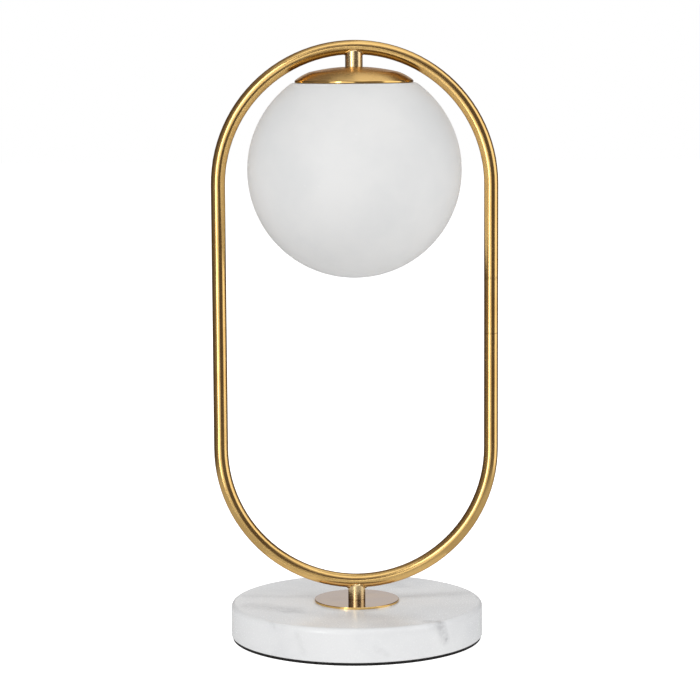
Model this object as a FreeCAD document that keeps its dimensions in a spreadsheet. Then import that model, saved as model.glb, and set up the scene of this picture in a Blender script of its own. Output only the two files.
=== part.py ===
import FreeCAD, Part
import math
import os
import Sketcher
from FreeCAD import Placement, Rotation, Vector

# Glass globe table lamp: a tube loop on a stone base carries a dome, and an
# opal globe hangs under the dome on three leaf springs.
# Millimetres, +Z up, origin at the centre of the pad's underside.  The loop
# lies in the XZ plane and the cord inlet is at the back, on +Y.

doc = FreeCAD.newDocument("GlobeLamp")
sheet = doc.addObject("Spreadsheet::Sheet", "Sizes")

driving_sizes = (
    # stone base and its pad
    ("base_diameter", 179.0, "stone disc"),
    ("base_thickness", 23.5, "stone disc"),
    ("base_top_rounding", 3.5, "top edge of the stone"),
    ("base_foot_rounding", 0.8, "bottom edge of the stone"),
    ("pad_thickness", 2.0, "foam pad under the stone"),
    ("pad_inset", 1.0, "pad edge inside the stone's edge"),
    ("recess_diameter", 60.0, "recess under the stone"),
    ("recess_depth", 14.5, "recess under the stone"),
    ("hole_clearance", 0.25, "round a nipple in a plain hole"),
    # cord inlet
    ("cord_hole_rise", 7.0, "axis above the stone's foot"),
    ("gland_bore", 6.4, "for a round two-core cord"),
    ("gland_wall", 0.8, "sleeve of the gland"),
    ("gland_length", 14.0, "flange face to sleeve end"),
    ("gland_flange_width", 1.7, "flange beyond the sleeve"),
    ("gland_flange_thickness", 1.5, "flange"),
    ("gland_sink", 0.4, "flange face inside the stone's edge"),
    ("fit_clearance", 0.05, "round a pressed or screwed piece"),
    # brass plate and its fixings
    ("plate_diameter", 60.0, "plate on the stone"),
    ("plate_thickness", 1.5, "plate on the stone"),
    ("plate_rounding", 0.4, "top edge of the plate"),
    ("nipple_diameter", 10.0, "M10x1 thread"),
    ("nipple_bore", 7.6, "hole for the leads"),
    ("nipple_end", 1.0, "thread beyond a nut"),
    ("nipple_stop", 0.5, "nipple short of the end of a stem's thread"),
    ("nut_across_flats", 14.0, "M10x1 nut"),
    ("nut_thickness", 3.0, "M10x1 nut"),
    ("washer_diameter", 28.0, "flat washer"),
    ("washer_thickness", 1.5, "flat washer"),
    ("spring_washer_diameter", 15.5, "split washer"),
    ("spring_washer_thickness", 1.4, "split washer"),
    ("spring_washer_split", 1.2, "gap of the split washer"),
    # terminal block
    ("block_length", 17.0, "across the two poles"),
    ("block_width", 10.0, "along the leads"),
    ("block_height", 9.0, "pad to block top"),
    ("block_distance", 15.0, "from the axis to the block"),
    ("block_pitch", 8.0, "between the two poles"),
    ("block_way", 3.2, "hole for a lead"),
    ("block_screw_pitch", 5.0, "between a pole's two screws"),
    ("block_way_rise", 4.5, "hole's axis above the pad"),
    ("clamp_screw_diameter", 3.0, "terminal screw"),
    ("clamp_screw_length", 3.6, "terminal screw"),
    ("screw_slot_width", 0.6, "slot of a terminal screw"),
    ("screw_slot_depth", 0.7, "slot of a terminal screw"),
    # stems
    ("stem_diameter", 12.2, "both stems"),
    ("stem_lip", 3.0, "saddle lip's top beyond the tube's near side"),
    ("stem_lip_spread", 0.6, "foot of the lip's arch beyond the stem's side"),
    ("stem_chamfer", 0.5, "saddle lip"),
    ("lower_stem_height", 8.0, "plate to tube"),
    ("upper_stem_height", 8.7, "dome to tube"),
    ("stem_thread_depth", 5.5, "M10x1 in a stem"),
    ("lead_hole", 6.0, "from a stem into the tube"),
    # tube loop
    ("tube_diameter", 10.0, "tube"),
    ("tube_wall", 1.0, "tube"),
    ("loop_radius", 95.6, "centre line of the two half circles"),
    ("loop_straight", 186.5, "between the two half circles' centres"),
    # dome
    ("dome_diameter", 82.8, "rim"),
    ("dome_height", 10.7, "rim to top"),
    ("dome_wall", 0.8, "spun sheet"),
    ("dome_seat_diameter", 18.0, "flat for stem and nut"),
    ("dome_crown_radius", 132.0, "crown"),
    ("dome_crease_diameter", 62.0, "where crown meets shoulder"),
    ("dome_shoulder_radius", 34.0, "shoulder"),
    ("dome_bead_height", 1.3, "rolled rim"),
    ("dome_bead_width", 0.5, "rolled rim beyond the shoulder"),
    ("dome_bead_flat", 0.1, "rolled rim, beside its roundings"),
    # globe and its clips
    ("globe_diameter", 150.0, "outside"),
    ("globe_wall", 3.0, "glass"),
    ("globe_opening", 76.5, "inside, at the ground edge"),
    ("globe_edge_rounding", 0.4, "fire-polished edge"),
    ("globe_gap", 0.3, "dome rim to glass"),
    ("clip_plate_diameter", 48.0, "plate that carries the clips"),
    ("clip_plate_thickness", 1.0, "plate that carries the clips"),
    ("clip_width", 10.0, "leaf spring"),
    ("clip_thickness", 0.5, "leaf spring"),
    ("clip_start", 14.0, "inner end, from the axis"),
    ("clip_bend", 29.5, "first bend, from the axis"),
    ("clip_gap", 0.1, "spring to the opening's circle"),
    ("clip_bow_radius", 7.6, "bow that holds the glass"),
    ("clip_bow_drop", 11.0, "bow, below the glass edge"),
    ("clip_tail_inset", 2.6, "tail inside the glass edge"),
    ("rivet_circle", 20.0, "rivet, from the axis"),
    ("rivet_diameter", 3.0, "shank"),
    ("rivet_head_diameter", 5.0, "head"),
    ("rivet_head_height", 1.1, "head under the clip"),
    ("rivet_head_taper", 20.0, "degrees, side of the head under the clip"),
    ("rivet_set_height", 0.5, "head on the plate"),
    # lampholder, small screw size
    ("holder_diameter", 24.0, "cap and body"),
    ("holder_wall", 1.6, "cap"),
    ("holder_cap_height", 18.0, "neck included"),
    ("holder_neck_diameter", 14.0, "threaded neck"),
    ("holder_neck_height", 4.0, "threaded neck"),
    ("holder_body_height", 32.0, "cap joint to mouth"),
    ("holder_mouth_diameter", 22.0, "inside"),
    ("holder_mouth_depth", 7.0, "inside"),
    ("holder_rim_rounding", 0.4, "outer edge of the mouth"),
    ("insert_diameter", 19.0, "contact insert"),
    ("insert_height", 8.0, "contact insert"),
    ("insert_way", 2.6, "hole for a lead"),
    ("insert_way_depth", 5.0, "hole for a lead"),
    ("insert_pitch", 12.0, "between the two lead holes"),
    ("holder_screw_offset", 3.8, "screw beside a lead hole"),
    ("shell_wall", 0.4, "screw shell"),
    ("shell_length", 15.0, "screw shell"),
    ("contact_width", 4.0, "spring tongue"),
    ("contact_length", 10.0, "spring tongue"),
    ("contact_drop", 1.5, "spring tongue's bow"),
    ("contact_seat", 2.0, "flat end of the spring tongue"),
    ("contact_bow", 2.5, "flat of the spring tongue's bow"),
    ("contact_gap", 0.1, "spring tongue to the bulb's contact"),
    # leads
    ("lead_diameter", 2.1, "one core"),
    ("lead_spacing", 2.3, "centre to centre"),
    ("lead_bend", 3.0, "tighter bend at the tube's holes"),
    ("lead_turn", 3.4, "bends in base and lampholder"),
    ("lead_end_inset", 1.0, "lead's end to the end of its hole"),
    # bulb, small screw cap
    ("bulb_cap_diameter", 13.9, "screw cap"),
    ("bulb_cap_length", 15.5, "screw cap"),
    ("bulb_cap_wall", 0.3, "screw cap"),
    ("bulb_cap_opening", 9.3, "in the screw cap's end"),
    ("bulb_clearance", 0.2, "cap in the screw shell"),
    ("bulb_tip_diameter", 4.8, "contact"),
    ("bulb_tip_height", 1.2, "contact"),
    ("bulb_insulator_height", 2.6, "cone between contact and cap"),
    ("bulb_insulator_cone", 1.5, "height of the insulator's upper cone"),
    ("bulb_insulator_width", 10.6, "foot of the insulator's upper cone"),
    ("bulb_length", 78.0, "contact to far end"),
    ("bulb_diameter", 45.0, "envelope"),
    ("bulb_wall", 1.2, "envelope"),
    ("bulb_neck_diameter", 35.0, "joint of housing and envelope"),
    ("bulb_throat_diameter", 18.0, "narrow end of the housing's flare"),
    ("bulb_throat_length", 5.0, "cap to flare"),
    ("bulb_plug_length", 5.8, "housing inside the cap"),
    ("board_thickness", 1.2, "circuit board"),
    ("chip_size", 3.0, "side of one chip"),
    ("chip_height", 0.8, "chip"),
    ("chip_circle", 9.0, "chips, from the axis"),
)

for row, (alias, amount, note) in enumerate(driving_sizes, start=1):
    sheet.set("A%d" % row, alias)
    sheet.set("B%d" % row, str(amount))
    sheet.set("C%d" % row, note)
    sheet.setAlias("B%d" % row, alias)
doc.recompute()


class Size:
    """A length, kept together with the formula that gives it."""

    def __init__(self, amount, formula):
        self.amount = amount
        self.formula = formula

    def __add__(self, other):
        other = as_size(other)
        return Size(self.amount + other.amount, "(%s + %s)" % (self.formula, other.formula))

    def __sub__(self, other):
        other = as_size(other)
        return Size(self.amount - other.amount, "(%s - %s)" % (self.formula, other.formula))

    def __mul__(self, other):
        other = as_size(other)
        return Size(self.amount * other.amount, "(%s * %s)" % (self.formula, other.formula))

    def __truediv__(self, other):
        other = as_size(other)
        return Size(self.amount / other.amount, "(%s / %s)" % (self.formula, other.formula))

    def __neg__(self):
        return Size(-self.amount, "(-1 * %s)" % self.formula)

    def root(self):
        return Size(math.sqrt(self.amount), "sqrt(%s)" % self.formula)


def as_size(item):
    """A plain number as a Size."""
    return item if isinstance(item, Size) else Size(float(item), repr(float(item)))


def leg(longest, other):
    """The third side of a right-angled triangle, from its longest side and another."""
    return (longest * longest - other * other).root()


class Cells:
    """Gives a driving size by its name."""

    def __getattr__(self, alias):
        return Size(float(sheet.get(alias)), "Sizes." + alias)


cell = Cells()
nothing = as_size(0)

# Heights of the stack, from the floor up.
stone_foot = cell.pad_thickness
stone_top = stone_foot + cell.base_thickness
recess_top = stone_foot + cell.recess_depth
plate_top = stone_top + cell.plate_thickness
loop_foot = plate_top + cell.lower_stem_height
lower_arc_height = loop_foot + cell.tube_diameter / 2 + cell.loop_radius
upper_arc_height = lower_arc_height + cell.loop_straight
loop_height = cell.loop_straight + cell.loop_radius * 2 + cell.tube_diameter
dome_top = loop_foot + loop_height - cell.tube_diameter - cell.upper_stem_height
dome_foot = dome_top - cell.dome_height
glass_top = dome_foot - cell.globe_gap
glass_reach = leg(cell.globe_diameter / 2 - cell.globe_wall, cell.globe_opening / 2)
globe_height = glass_top - glass_reach
canopy_nut_foot = dome_top - cell.dome_wall - cell.nut_thickness
clip_plate_foot = canopy_nut_foot - cell.clip_plate_thickness
holder_top = clip_plate_foot - cell.nut_thickness
body_top = holder_top - cell.holder_cap_height
insert_foot = body_top - cell.fit_clearance * 2 - cell.insert_height
bulb_tip_height = insert_foot - cell.shell_wall - cell.contact_drop - cell.contact_gap

# Fits that several pieces share.
nipple_hole = cell.nipple_diameter / 2 + cell.fit_clearance
washer_foot = recess_top - cell.washer_thickness
spring_washer_foot = washer_foot - cell.spring_washer_thickness
base_nut_foot = spring_washer_foot - cell.nut_thickness
shell_bore = cell.bulb_cap_diameter / 2 + cell.bulb_clearance
cord_axis_height = stone_foot + cell.cord_hole_rise
gland_radius = cell.gland_bore / 2 + cell.gland_wall
gland_flange_radius = gland_radius + cell.gland_flange_width
bulb_centre_drop = cell.bulb_length - cell.bulb_diameter / 2
bulb_neck_drop = bulb_centre_drop - leg(cell.bulb_diameter / 2, cell.bulb_neck_diameter / 2)

# Two edges are the same within this distance, and a cut takes at least this volume.
same_place = 0.01
least_cut = 0.01

pieces = {}


def bind(item, prop, amount):
    """Ties a property to the driving sizes."""
    item.setExpression(prop, as_size(amount).formula)


def new_body(label):
    """An empty body, entered as a piece under its label."""
    body = doc.addObject("PartDesign::Body", label)
    body.Label = label
    pieces[label] = body
    return body


def place(body, across=nothing, back=nothing, up=nothing):
    """Ties a body's place to the driving sizes."""
    bind(body, "Placement.Base.x", across)
    bind(body, "Placement.Base.y", back)
    bind(body, "Placement.Base.z", up)


def new_sketch(body, name, role, offset=nothing):
    """A sketch on one of the body's own origin planes, or parallel to it."""
    sketch = body.newObject("Sketcher::SketchObject", body.Label + "_" + name)
    plane = next(item for item in body.Origin.OriginFeatures if item.Role == role)
    sketch.AttachmentSupport = [(plane, "")]
    sketch.MapMode = "FlatFace"
    bind(sketch, "AttachmentOffset.Base.z", offset)
    return sketch


def constrain(sketch, amount, *definition):
    """Adds a dimension to a sketch and ties it to the driving sizes."""
    amount = as_size(amount)
    number = sketch.addConstraint(Sketcher.Constraint(*definition, amount.amount))
    bind(sketch, "Constraints[%d]" % number, amount)


def fix_point(sketch, geometry, end, across, up):
    """Holds one point of a sketch at its two distances from the origin."""
    if across.amount == 0:
        sketch.addConstraint(Sketcher.Constraint("PointOnObject", geometry, end, -2))
    else:
        constrain(sketch, across, "DistanceX", -1, 1, geometry, end)
    if up.amount == 0:
        sketch.addConstraint(Sketcher.Constraint("PointOnObject", geometry, end, -1))
    else:
        constrain(sketch, up, "DistanceY", -1, 1, geometry, end)


def arc_edge(start, finish, radius):
    """The short arc between two points: a radius above zero turns it to the left."""
    chord = finish - start
    middle = (start + finish) / 2
    reach = math.sqrt(radius * radius - chord.Length * chord.Length / 4)
    left = Vector(-chord.y, chord.x, 0).normalize()
    centre = middle + left * math.copysign(reach, radius)
    if radius < 0:
        start, finish = finish, start
    first = math.atan2(start.y - centre.y, start.x - centre.x)
    last = math.atan2(finish.y - centre.y, finish.x - centre.x)
    if last < first:
        last += 2 * math.pi
    circle = Part.Circle(centre, Vector(0, 0, 1), abs(radius))
    return Part.ArcOfCircle(circle, first, last)


def draw_outline(sketch, corners, closed=True):
    """Lines and arcs through corners of (across, up), or (across, up, radius to the next)."""
    corners = [tuple(as_size(item) for item in corner) for corner in corners]
    count = len(corners) if closed else len(corners) - 1
    first_edge = sketch.GeometryCount
    ends = []
    for index in range(count):
        corner = corners[index]
        following = corners[(index + 1) % len(corners)]
        start = Vector(corner[0].amount, corner[1].amount, 0)
        finish = Vector(following[0].amount, following[1].amount, 0)
        if len(corner) == 3:
            sketch.addGeometry(arc_edge(start, finish, corner[2].amount), False)
            ends.append((1, 2) if corner[2].amount > 0 else (2, 1))
        else:
            sketch.addGeometry(Part.LineSegment(start, finish), False)
            ends.append((1, 2))
    for index in range(count):
        edge = first_edge + index
        fix_point(sketch, edge, ends[index][0], corners[index][0], corners[index][1])
        if len(corners[index]) == 3:
            radius = corners[index][2]
            constrain(sketch, radius if radius.amount > 0 else -radius, "Radius", edge)
        if closed or index + 1 < count:
            following = (index + 1) % count
            sketch.addConstraint(Sketcher.Constraint(
                "Coincident", edge, ends[index][1], first_edge + following, ends[following][0]))
    if not closed:
        last = first_edge + count - 1
        fix_point(sketch, last, ends[-1][1], corners[-1][0], corners[-1][1])


def draw_circle(sketch, radius, across=nothing, up=nothing):
    """A circle at its two distances from the sketch's origin."""
    radius, across, up = as_size(radius), as_size(across), as_size(up)
    centre = Vector(across.amount, up.amount, 0)
    circle = Part.Circle(centre, Vector(0, 0, 1), radius.amount)
    edge = sketch.addGeometry(circle, False)
    fix_point(sketch, edge, 3, across, up)
    constrain(sketch, radius, "Radius", edge)


def box_corners(left, right, bottom, top):
    """The four corners of a rectangle."""
    return [(left, bottom), (right, bottom), (right, top), (left, top)]


def turn(body, corners, name="turned"):
    """Revolves an outline of (radius, height) about the body's Z axis."""
    sketch = new_sketch(body, name + "_outline", "XZ_Plane")
    draw_outline(sketch, corners)
    feature = body.newObject("PartDesign::Revolution", body.Label + "_" + name)
    feature.Profile = sketch
    feature.ReferenceAxis = (sketch, ["V_Axis"])
    feature.Angle = 360
    body.Tip = feature
    return feature


def turned_piece(label, corners, up):
    """A piece that is one turned outline, standing at a height."""
    body = new_body(label)
    turn(body, corners)
    place(body, up=up)
    return body


def ring_outline(inner, outer, bottom, top):
    """Outline of a plain ring."""
    return box_corners(as_size(inner), as_size(outer), as_size(bottom), as_size(top))


def pad(body, sketch, length, name, symmetric=False):
    """Raises a sketch along its plane's normal."""
    feature = body.newObject("PartDesign::Pad", body.Label + "_" + name)
    feature.Profile = sketch
    bind(feature, "Length", length)
    feature.SideType = "Symmetric" if symmetric else "One side"
    body.Tip = feature
    return feature


def pocket(body, sketch, length, name, symmetric=False):
    """Cuts a sketch into the body, and makes sure that it removed something."""
    doc.recompute()
    before = body.Shape.Volume
    feature = body.newObject("PartDesign::Pocket", body.Label + "_" + name)
    feature.Profile = sketch
    bind(feature, "Length", length)
    feature.SideType = "Symmetric" if symmetric else "One side"
    body.Tip = feature
    doc.recompute()
    if not body.Shape.Volume < before - least_cut:
        raise RuntimeError("%s cuts nothing" % feature.Name)
    return feature


def round_rings(body, rings, size, kind="Fillet"):
    """Rounds or chamfers the circular edges of (radius, height)."""
    doc.recompute()
    base = body.Tip
    names = []
    for number, edge in enumerate(base.Shape.Edges, start=1):
        if edge.Degenerated or not isinstance(edge.Curve, Part.Circle):
            continue
        for radius, height in rings:
            same_radius = abs(edge.Curve.Radius - as_size(radius).amount) < same_place
            if same_radius and abs(edge.Curve.Center.z - as_size(height).amount) < same_place:
                names.append("Edge%d" % number)
    if len(names) < len(rings):
        raise RuntimeError("%s lost an edge" % body.Label)
    feature = body.newObject("PartDesign::" + kind, body.Label + "_" + kind)
    feature.Base = (base, names)
    bind(feature, "Radius" if kind == "Fillet" else "Size", size)
    body.Tip = feature
    return feature


def make_pad():
    radius = cell.base_diameter / 2 - cell.pad_inset
    turned_piece("base_pad", ring_outline(0, radius, 0, cell.pad_thickness), nothing)


def make_stone():
    """Marble disc: bored through, recessed from below, drilled from the back."""
    body = new_body("marble_base")
    edge = cell.base_diameter / 2
    bore = cell.nipple_diameter / 2 + cell.hole_clearance
    recess = cell.recess_diameter / 2
    turn(body, [
        (recess, nothing), (edge, nothing), (edge, cell.base_thickness),
        (bore, cell.base_thickness), (bore, cell.recess_depth), (recess, cell.recess_depth)])
    place(body, up=stone_foot)
    round_rings(body, [(edge, cell.base_thickness)], cell.base_top_rounding)
    round_rings(body, [(edge, nothing)], cell.base_foot_rounding)
    hole = new_sketch(body, "cord_hole_circle", "XZ_Plane")
    draw_circle(hole, gland_radius + cell.fit_clearance, up=cell.cord_hole_rise)
    pocket(body, hole, edge, "cord_hole")
    seat_distance = edge - cell.gland_sink - cell.gland_flange_thickness
    seat = new_sketch(body, "gland_seat_circle", "XZ_Plane", -seat_distance)
    draw_circle(seat, gland_flange_radius + cell.fit_clearance, up=cell.cord_hole_rise)
    pocket(body, seat, edge - seat_distance, "gland_seat")


def make_gland():
    """Flanged sleeve, turned about Z and laid along Y."""
    body = new_body("cord_gland")
    bore = cell.gland_bore / 2
    neck = cell.gland_length - cell.gland_flange_thickness
    turn(body, [
        (bore, nothing), (gland_radius, nothing), (gland_radius, neck),
        (gland_flange_radius, neck), (gland_flange_radius, cell.gland_length),
        (bore, cell.gland_length)])
    body.Placement = Placement(Vector(), Rotation(Vector(1, 0, 0), -90))
    back = cell.base_diameter / 2 - cell.gland_sink - cell.gland_length
    place(body, back=back, up=cord_axis_height)


def make_block():
    """Terminal block: two ways for the leads and four wells for the screws."""
    body = new_body("terminal_block")
    base = new_sketch(body, "base", "XY_Plane")
    half_length, half_pitch = cell.block_length / 2, cell.block_pitch / 2
    draw_outline(base, box_corners(-half_length, half_length, nothing, cell.block_width))
    pad(body, base, cell.block_height, "block")
    ways = new_sketch(body, "way_circles", "XZ_Plane")
    for side in (-1, 1):
        draw_circle(ways, cell.block_way / 2, half_pitch * side, cell.block_way_rise)
    pocket(body, ways, cell.block_width, "ways")
    wells = new_sketch(body, "well_circles", "XY_Plane", cell.block_height)
    for across, back in screw_places():
        radius = cell.clamp_screw_diameter / 2 + cell.fit_clearance
        draw_circle(wells, radius, across, back)
    pocket(body, wells, cell.block_height - cell.block_way_rise, "wells")
    place(body, back=cell.block_distance, up=stone_foot)


def screw_places():
    """Places of the block's four screws, from the middle of its front edge."""
    places = []
    for side in (-1, 1):
        for end in (-1, 1):
            along = cell.block_width / 2 + cell.block_screw_pitch / 2 * end
            places.append((cell.block_pitch / 2 * side, along))
    return places


def slotted_screws(label, places, back, up):
    """A group of slotted grub screws, each a solid of its own."""
    body = new_body(label)
    shanks = new_sketch(body, "shank_circles", "XY_Plane")
    slots = new_sketch(body, "slot_boxes", "XY_Plane", cell.clamp_screw_length)
    radius, half_slot = cell.clamp_screw_diameter / 2, cell.screw_slot_width / 2
    slot_reach = radius + cell.screw_slot_width
    for across, along in places:
        draw_circle(shanks, radius, across, along)
        draw_outline(slots, box_corners(
            across - slot_reach, across + slot_reach, along - half_slot, along + half_slot))
    pad(body, shanks, cell.clamp_screw_length, "shanks")
    pocket(body, slots, cell.screw_slot_depth, "slots")
    place(body, back=back, up=up)


def make_clamp_screws():
    lead_top = cell.block_way_rise + cell.lead_diameter / 2
    slotted_screws("terminal_screws", screw_places(), cell.block_distance, stone_foot + lead_top)


def make_washer():
    outline = ring_outline(nipple_hole, cell.washer_diameter / 2, 0, cell.washer_thickness)
    turned_piece("base_washer", outline, washer_foot)


def make_spring_washer():
    """Ring with a split on one side."""
    body = new_body("spring_washer")
    outer = cell.spring_washer_diameter / 2
    turn(body, ring_outline(nipple_hole, outer, 0, cell.spring_washer_thickness))
    split = new_sketch(body, "split_box", "XY_Plane")
    half_split = cell.spring_washer_split / 2
    draw_outline(split, box_corners(
        -half_split, half_split, -outer - cell.spring_washer_split, nothing))
    pocket(body, split, cell.spring_washer_thickness * 2, "split", symmetric=True)
    place(body, up=spring_washer_foot)


def make_nut(label, up):
    """Hexagon nut."""
    body = new_body(label)
    outline = new_sketch(body, "hexagon", "XY_Plane")
    flat = cell.nut_across_flats / 2
    corner = flat * 2 / as_size(3).root()
    draw_outline(outline, [
        (corner, nothing), (corner / 2, flat), (-corner / 2, flat),
        (-corner, nothing), (-corner / 2, -flat), (corner / 2, -flat)])
    draw_circle(outline, nipple_hole)
    pad(body, outline, cell.nut_thickness, "nut")
    place(body, up=up)


def make_nipple(label, bottom, top):
    """Threaded tube between two heights."""
    outline = ring_outline(cell.nipple_bore / 2, cell.nipple_diameter / 2, 0, top - bottom)
    turned_piece(label, outline, bottom)


def make_plate():
    body = turned_piece("base_plate", ring_outline(
        cell.nipple_diameter / 2 + cell.hole_clearance, cell.plate_diameter / 2,
        0, cell.plate_thickness), stone_top)
    round_rings(body, [(cell.plate_diameter / 2, cell.plate_thickness)], cell.plate_rounding)


def make_stem(label, height, up, flipped=False):
    """Threaded stem, coped to the bent tube: an arched lip wraps it in front and behind."""
    body = new_body(label)
    radius, lead_hole = cell.stem_diameter / 2, cell.lead_hole / 2
    top = height + cell.stem_lip
    turn(body, [
        (nipple_hole, nothing), (radius, nothing), (radius, top), (lead_hole, top),
        (lead_hole, cell.stem_thread_depth), (nipple_hole, cell.stem_thread_depth)])
    arch_foot, arch_rise = radius + cell.stem_lip_spread, cell.stem_lip
    arch_radius = (arch_foot * arch_foot + arch_rise * arch_rise) / (arch_rise * 2)
    arch = new_sketch(body, "arch_outline", "XZ_Plane")
    draw_outline(arch, [
        (-arch_foot, height, -arch_radius), (arch_foot, height),
        (arch_foot, top + cell.stem_lip_spread), (-arch_foot, top + cell.stem_lip_spread)])
    pocket(body, arch, arch_foot * 2, "arch", symmetric=True)
    chamfer_lip(body, radius, height)
    tube_centre = height + cell.tube_diameter / 2
    if flipped:
        bend_centre = tube_centre - cell.loop_radius
    else:
        bend_centre = tube_centre + cell.loop_radius
    saddle = new_sketch(body, "saddle_circle", "YZ_Plane")
    draw_circle(saddle, cell.tube_diameter / 2, up=tube_centre)
    axis = Part.LineSegment(Vector(-1, bend_centre.amount, 0), Vector(1, bend_centre.amount, 0))
    edge = saddle.addGeometry(axis, True)
    saddle.addConstraint(Sketcher.Constraint("Horizontal", edge))
    constrain(saddle, bend_centre, "DistanceY", -1, 1, edge, 1)
    constrain(saddle, -cell.tube_wall, "DistanceX", -1, 1, edge, 1)
    constrain(saddle, cell.tube_wall, "DistanceX", -1, 1, edge, 2)
    doc.recompute()
    before = body.Shape.Volume
    groove = body.newObject("PartDesign::Groove", label + "_saddle")
    groove.Profile = saddle
    groove.ReferenceAxis = (saddle, ["Axis0"])
    groove.Angle = 360
    body.Tip = groove
    doc.recompute()
    if not body.Shape.Volume < before - least_cut:
        raise RuntimeError("%s has no saddle" % label)
    place(body, up=up)


def chamfer_lip(body, radius, height):
    """Chamfers the outer edge of a stem's arched lip."""
    base = body.Tip
    names = []
    for number, edge in enumerate(base.Shape.Edges, start=1):
        points = [] if edge.Degenerated else edge.discretize(5)
        outside = all(abs(math.hypot(point.x, point.y) - radius.amount) < same_place
                      for point in points)
        if points and outside and min(point.z for point in points) > height.amount:
            names.append("Edge%d" % number)
    if not names:
        raise RuntimeError("%s has no lip" % body.Label)
    feature = body.newObject("PartDesign::Chamfer", body.Label + "_lip")
    feature.Base = (base, names)
    bind(feature, "Size", cell.stem_chamfer)
    body.Tip = feature


def make_tube():
    """Bent tube loop, welded end to end, with a lead hole at each stem."""
    body = new_body("frame_tube")
    radius, straight = cell.loop_radius, cell.loop_straight
    low = cell.tube_diameter / 2 + radius
    route = new_sketch(body, "route", "XZ_Plane")
    draw_outline(route, [
        (nothing, low - radius, radius), (radius, low),
        (radius, low + straight, radius), (nothing, low + straight + radius, radius),
        (-radius, low + straight), (-radius, low, radius)])
    outside = cell.tube_diameter / 2
    for kind, section_radius in (("Additive", outside), ("Subtractive", outside - cell.tube_wall)):
        section = new_sketch(body, kind + "_section", "YZ_Plane")
        draw_circle(section, section_radius, up=outside)
        pipe = body.newObject("PartDesign::%sPipe" % kind, "frame_tube_" + kind)
        pipe.Profile = section
        pipe.Spine = (route, [])
        body.Tip = pipe
        doc.recompute()
    for name, offset in (("lower", nothing), ("upper", loop_height - cell.tube_diameter)):
        hole = new_sketch(body, name + "_hole_circle", "XY_Plane", offset)
        draw_circle(hole, cell.lead_hole / 2)
        pocket(body, hole, cell.tube_diameter, name + "_hole", symmetric=True)
    place(body, up=loop_foot)


def arc_centre(start, finish, radius):
    """Centre of the arc that turns left from one point of (across, up) to another."""
    across, up = finish[0] - start[0], finish[1] - start[1]
    chord = (across * across + up * up).root()
    share = leg(radius, chord / 2) / chord
    middle = ((start[0] + finish[0]) / 2, (start[1] + finish[1]) / 2)
    return middle[0] - up * share, middle[1] + across * share


def towards(point, centre, share):
    """The point moved towards a centre by a share of their distance."""
    return tuple(here + (there - here) * share for here, there in zip(point, centre))


def make_dome():
    """Spun dome: flat seat, crown, crease, shoulder and rolled rim, all of one wall."""
    height, wall = cell.dome_height, cell.dome_wall
    crown, shoulder = cell.dome_crown_radius, cell.dome_shoulder_radius
    hole = cell.nipple_diameter / 2 + cell.hole_clearance
    seat, rim = cell.dome_seat_diameter / 2, cell.dome_diameter / 2
    crease_radius = cell.dome_crease_diameter / 2
    crease = (crease_radius, height - leg(crown, seat) + leg(crown, crease_radius))
    neck = (rim - cell.dome_bead_width, cell.dome_bead_height + cell.dome_bead_width)
    centre = arc_centre(neck, crease, shoulder)
    inner_crease = towards(crease, centre, wall / shoulder)
    inner_neck = towards(neck, centre, wall / shoulder)
    body = turned_piece("canopy_dome", [
        (inner_neck[0], nothing), (rim, nothing), (rim, cell.dome_bead_height),
        (*neck, shoulder), (*crease, crown), (seat, height), (hole, height),
        (hole, height - wall), (seat, height - wall, wall - crown),
        (*inner_crease, wall - shoulder), inner_neck], dome_foot)
    bead_edges = [(rim, nothing), (rim, cell.dome_bead_height)]
    round_rings(body, bead_edges, cell.dome_bead_width - cell.dome_bead_flat)


def make_clip_plate():
    """Disc between the two nuts, with a hole for each clip's rivet."""
    body = new_body("clip_plate")
    turn(body, ring_outline(nipple_hole, cell.clip_plate_diameter / 2,
                            0, cell.clip_plate_thickness))
    holes = new_sketch(body, "rivet_circles", "XY_Plane", cell.clip_plate_thickness)
    for across, back in rivet_places():
        draw_circle(holes, cell.rivet_diameter / 2 + cell.fit_clearance, across, back)
    pocket(body, holes, cell.clip_plate_thickness * 2, "rivet_holes")
    place(body, up=clip_plate_foot)


def rivet_places():
    """One rivet at the back and two in front."""
    half_root = as_size(3).root() / 2
    reach = cell.rivet_circle
    return [(nothing, reach), (-reach * half_root, -reach / 2), (reach * half_root, -reach / 2)]


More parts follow.
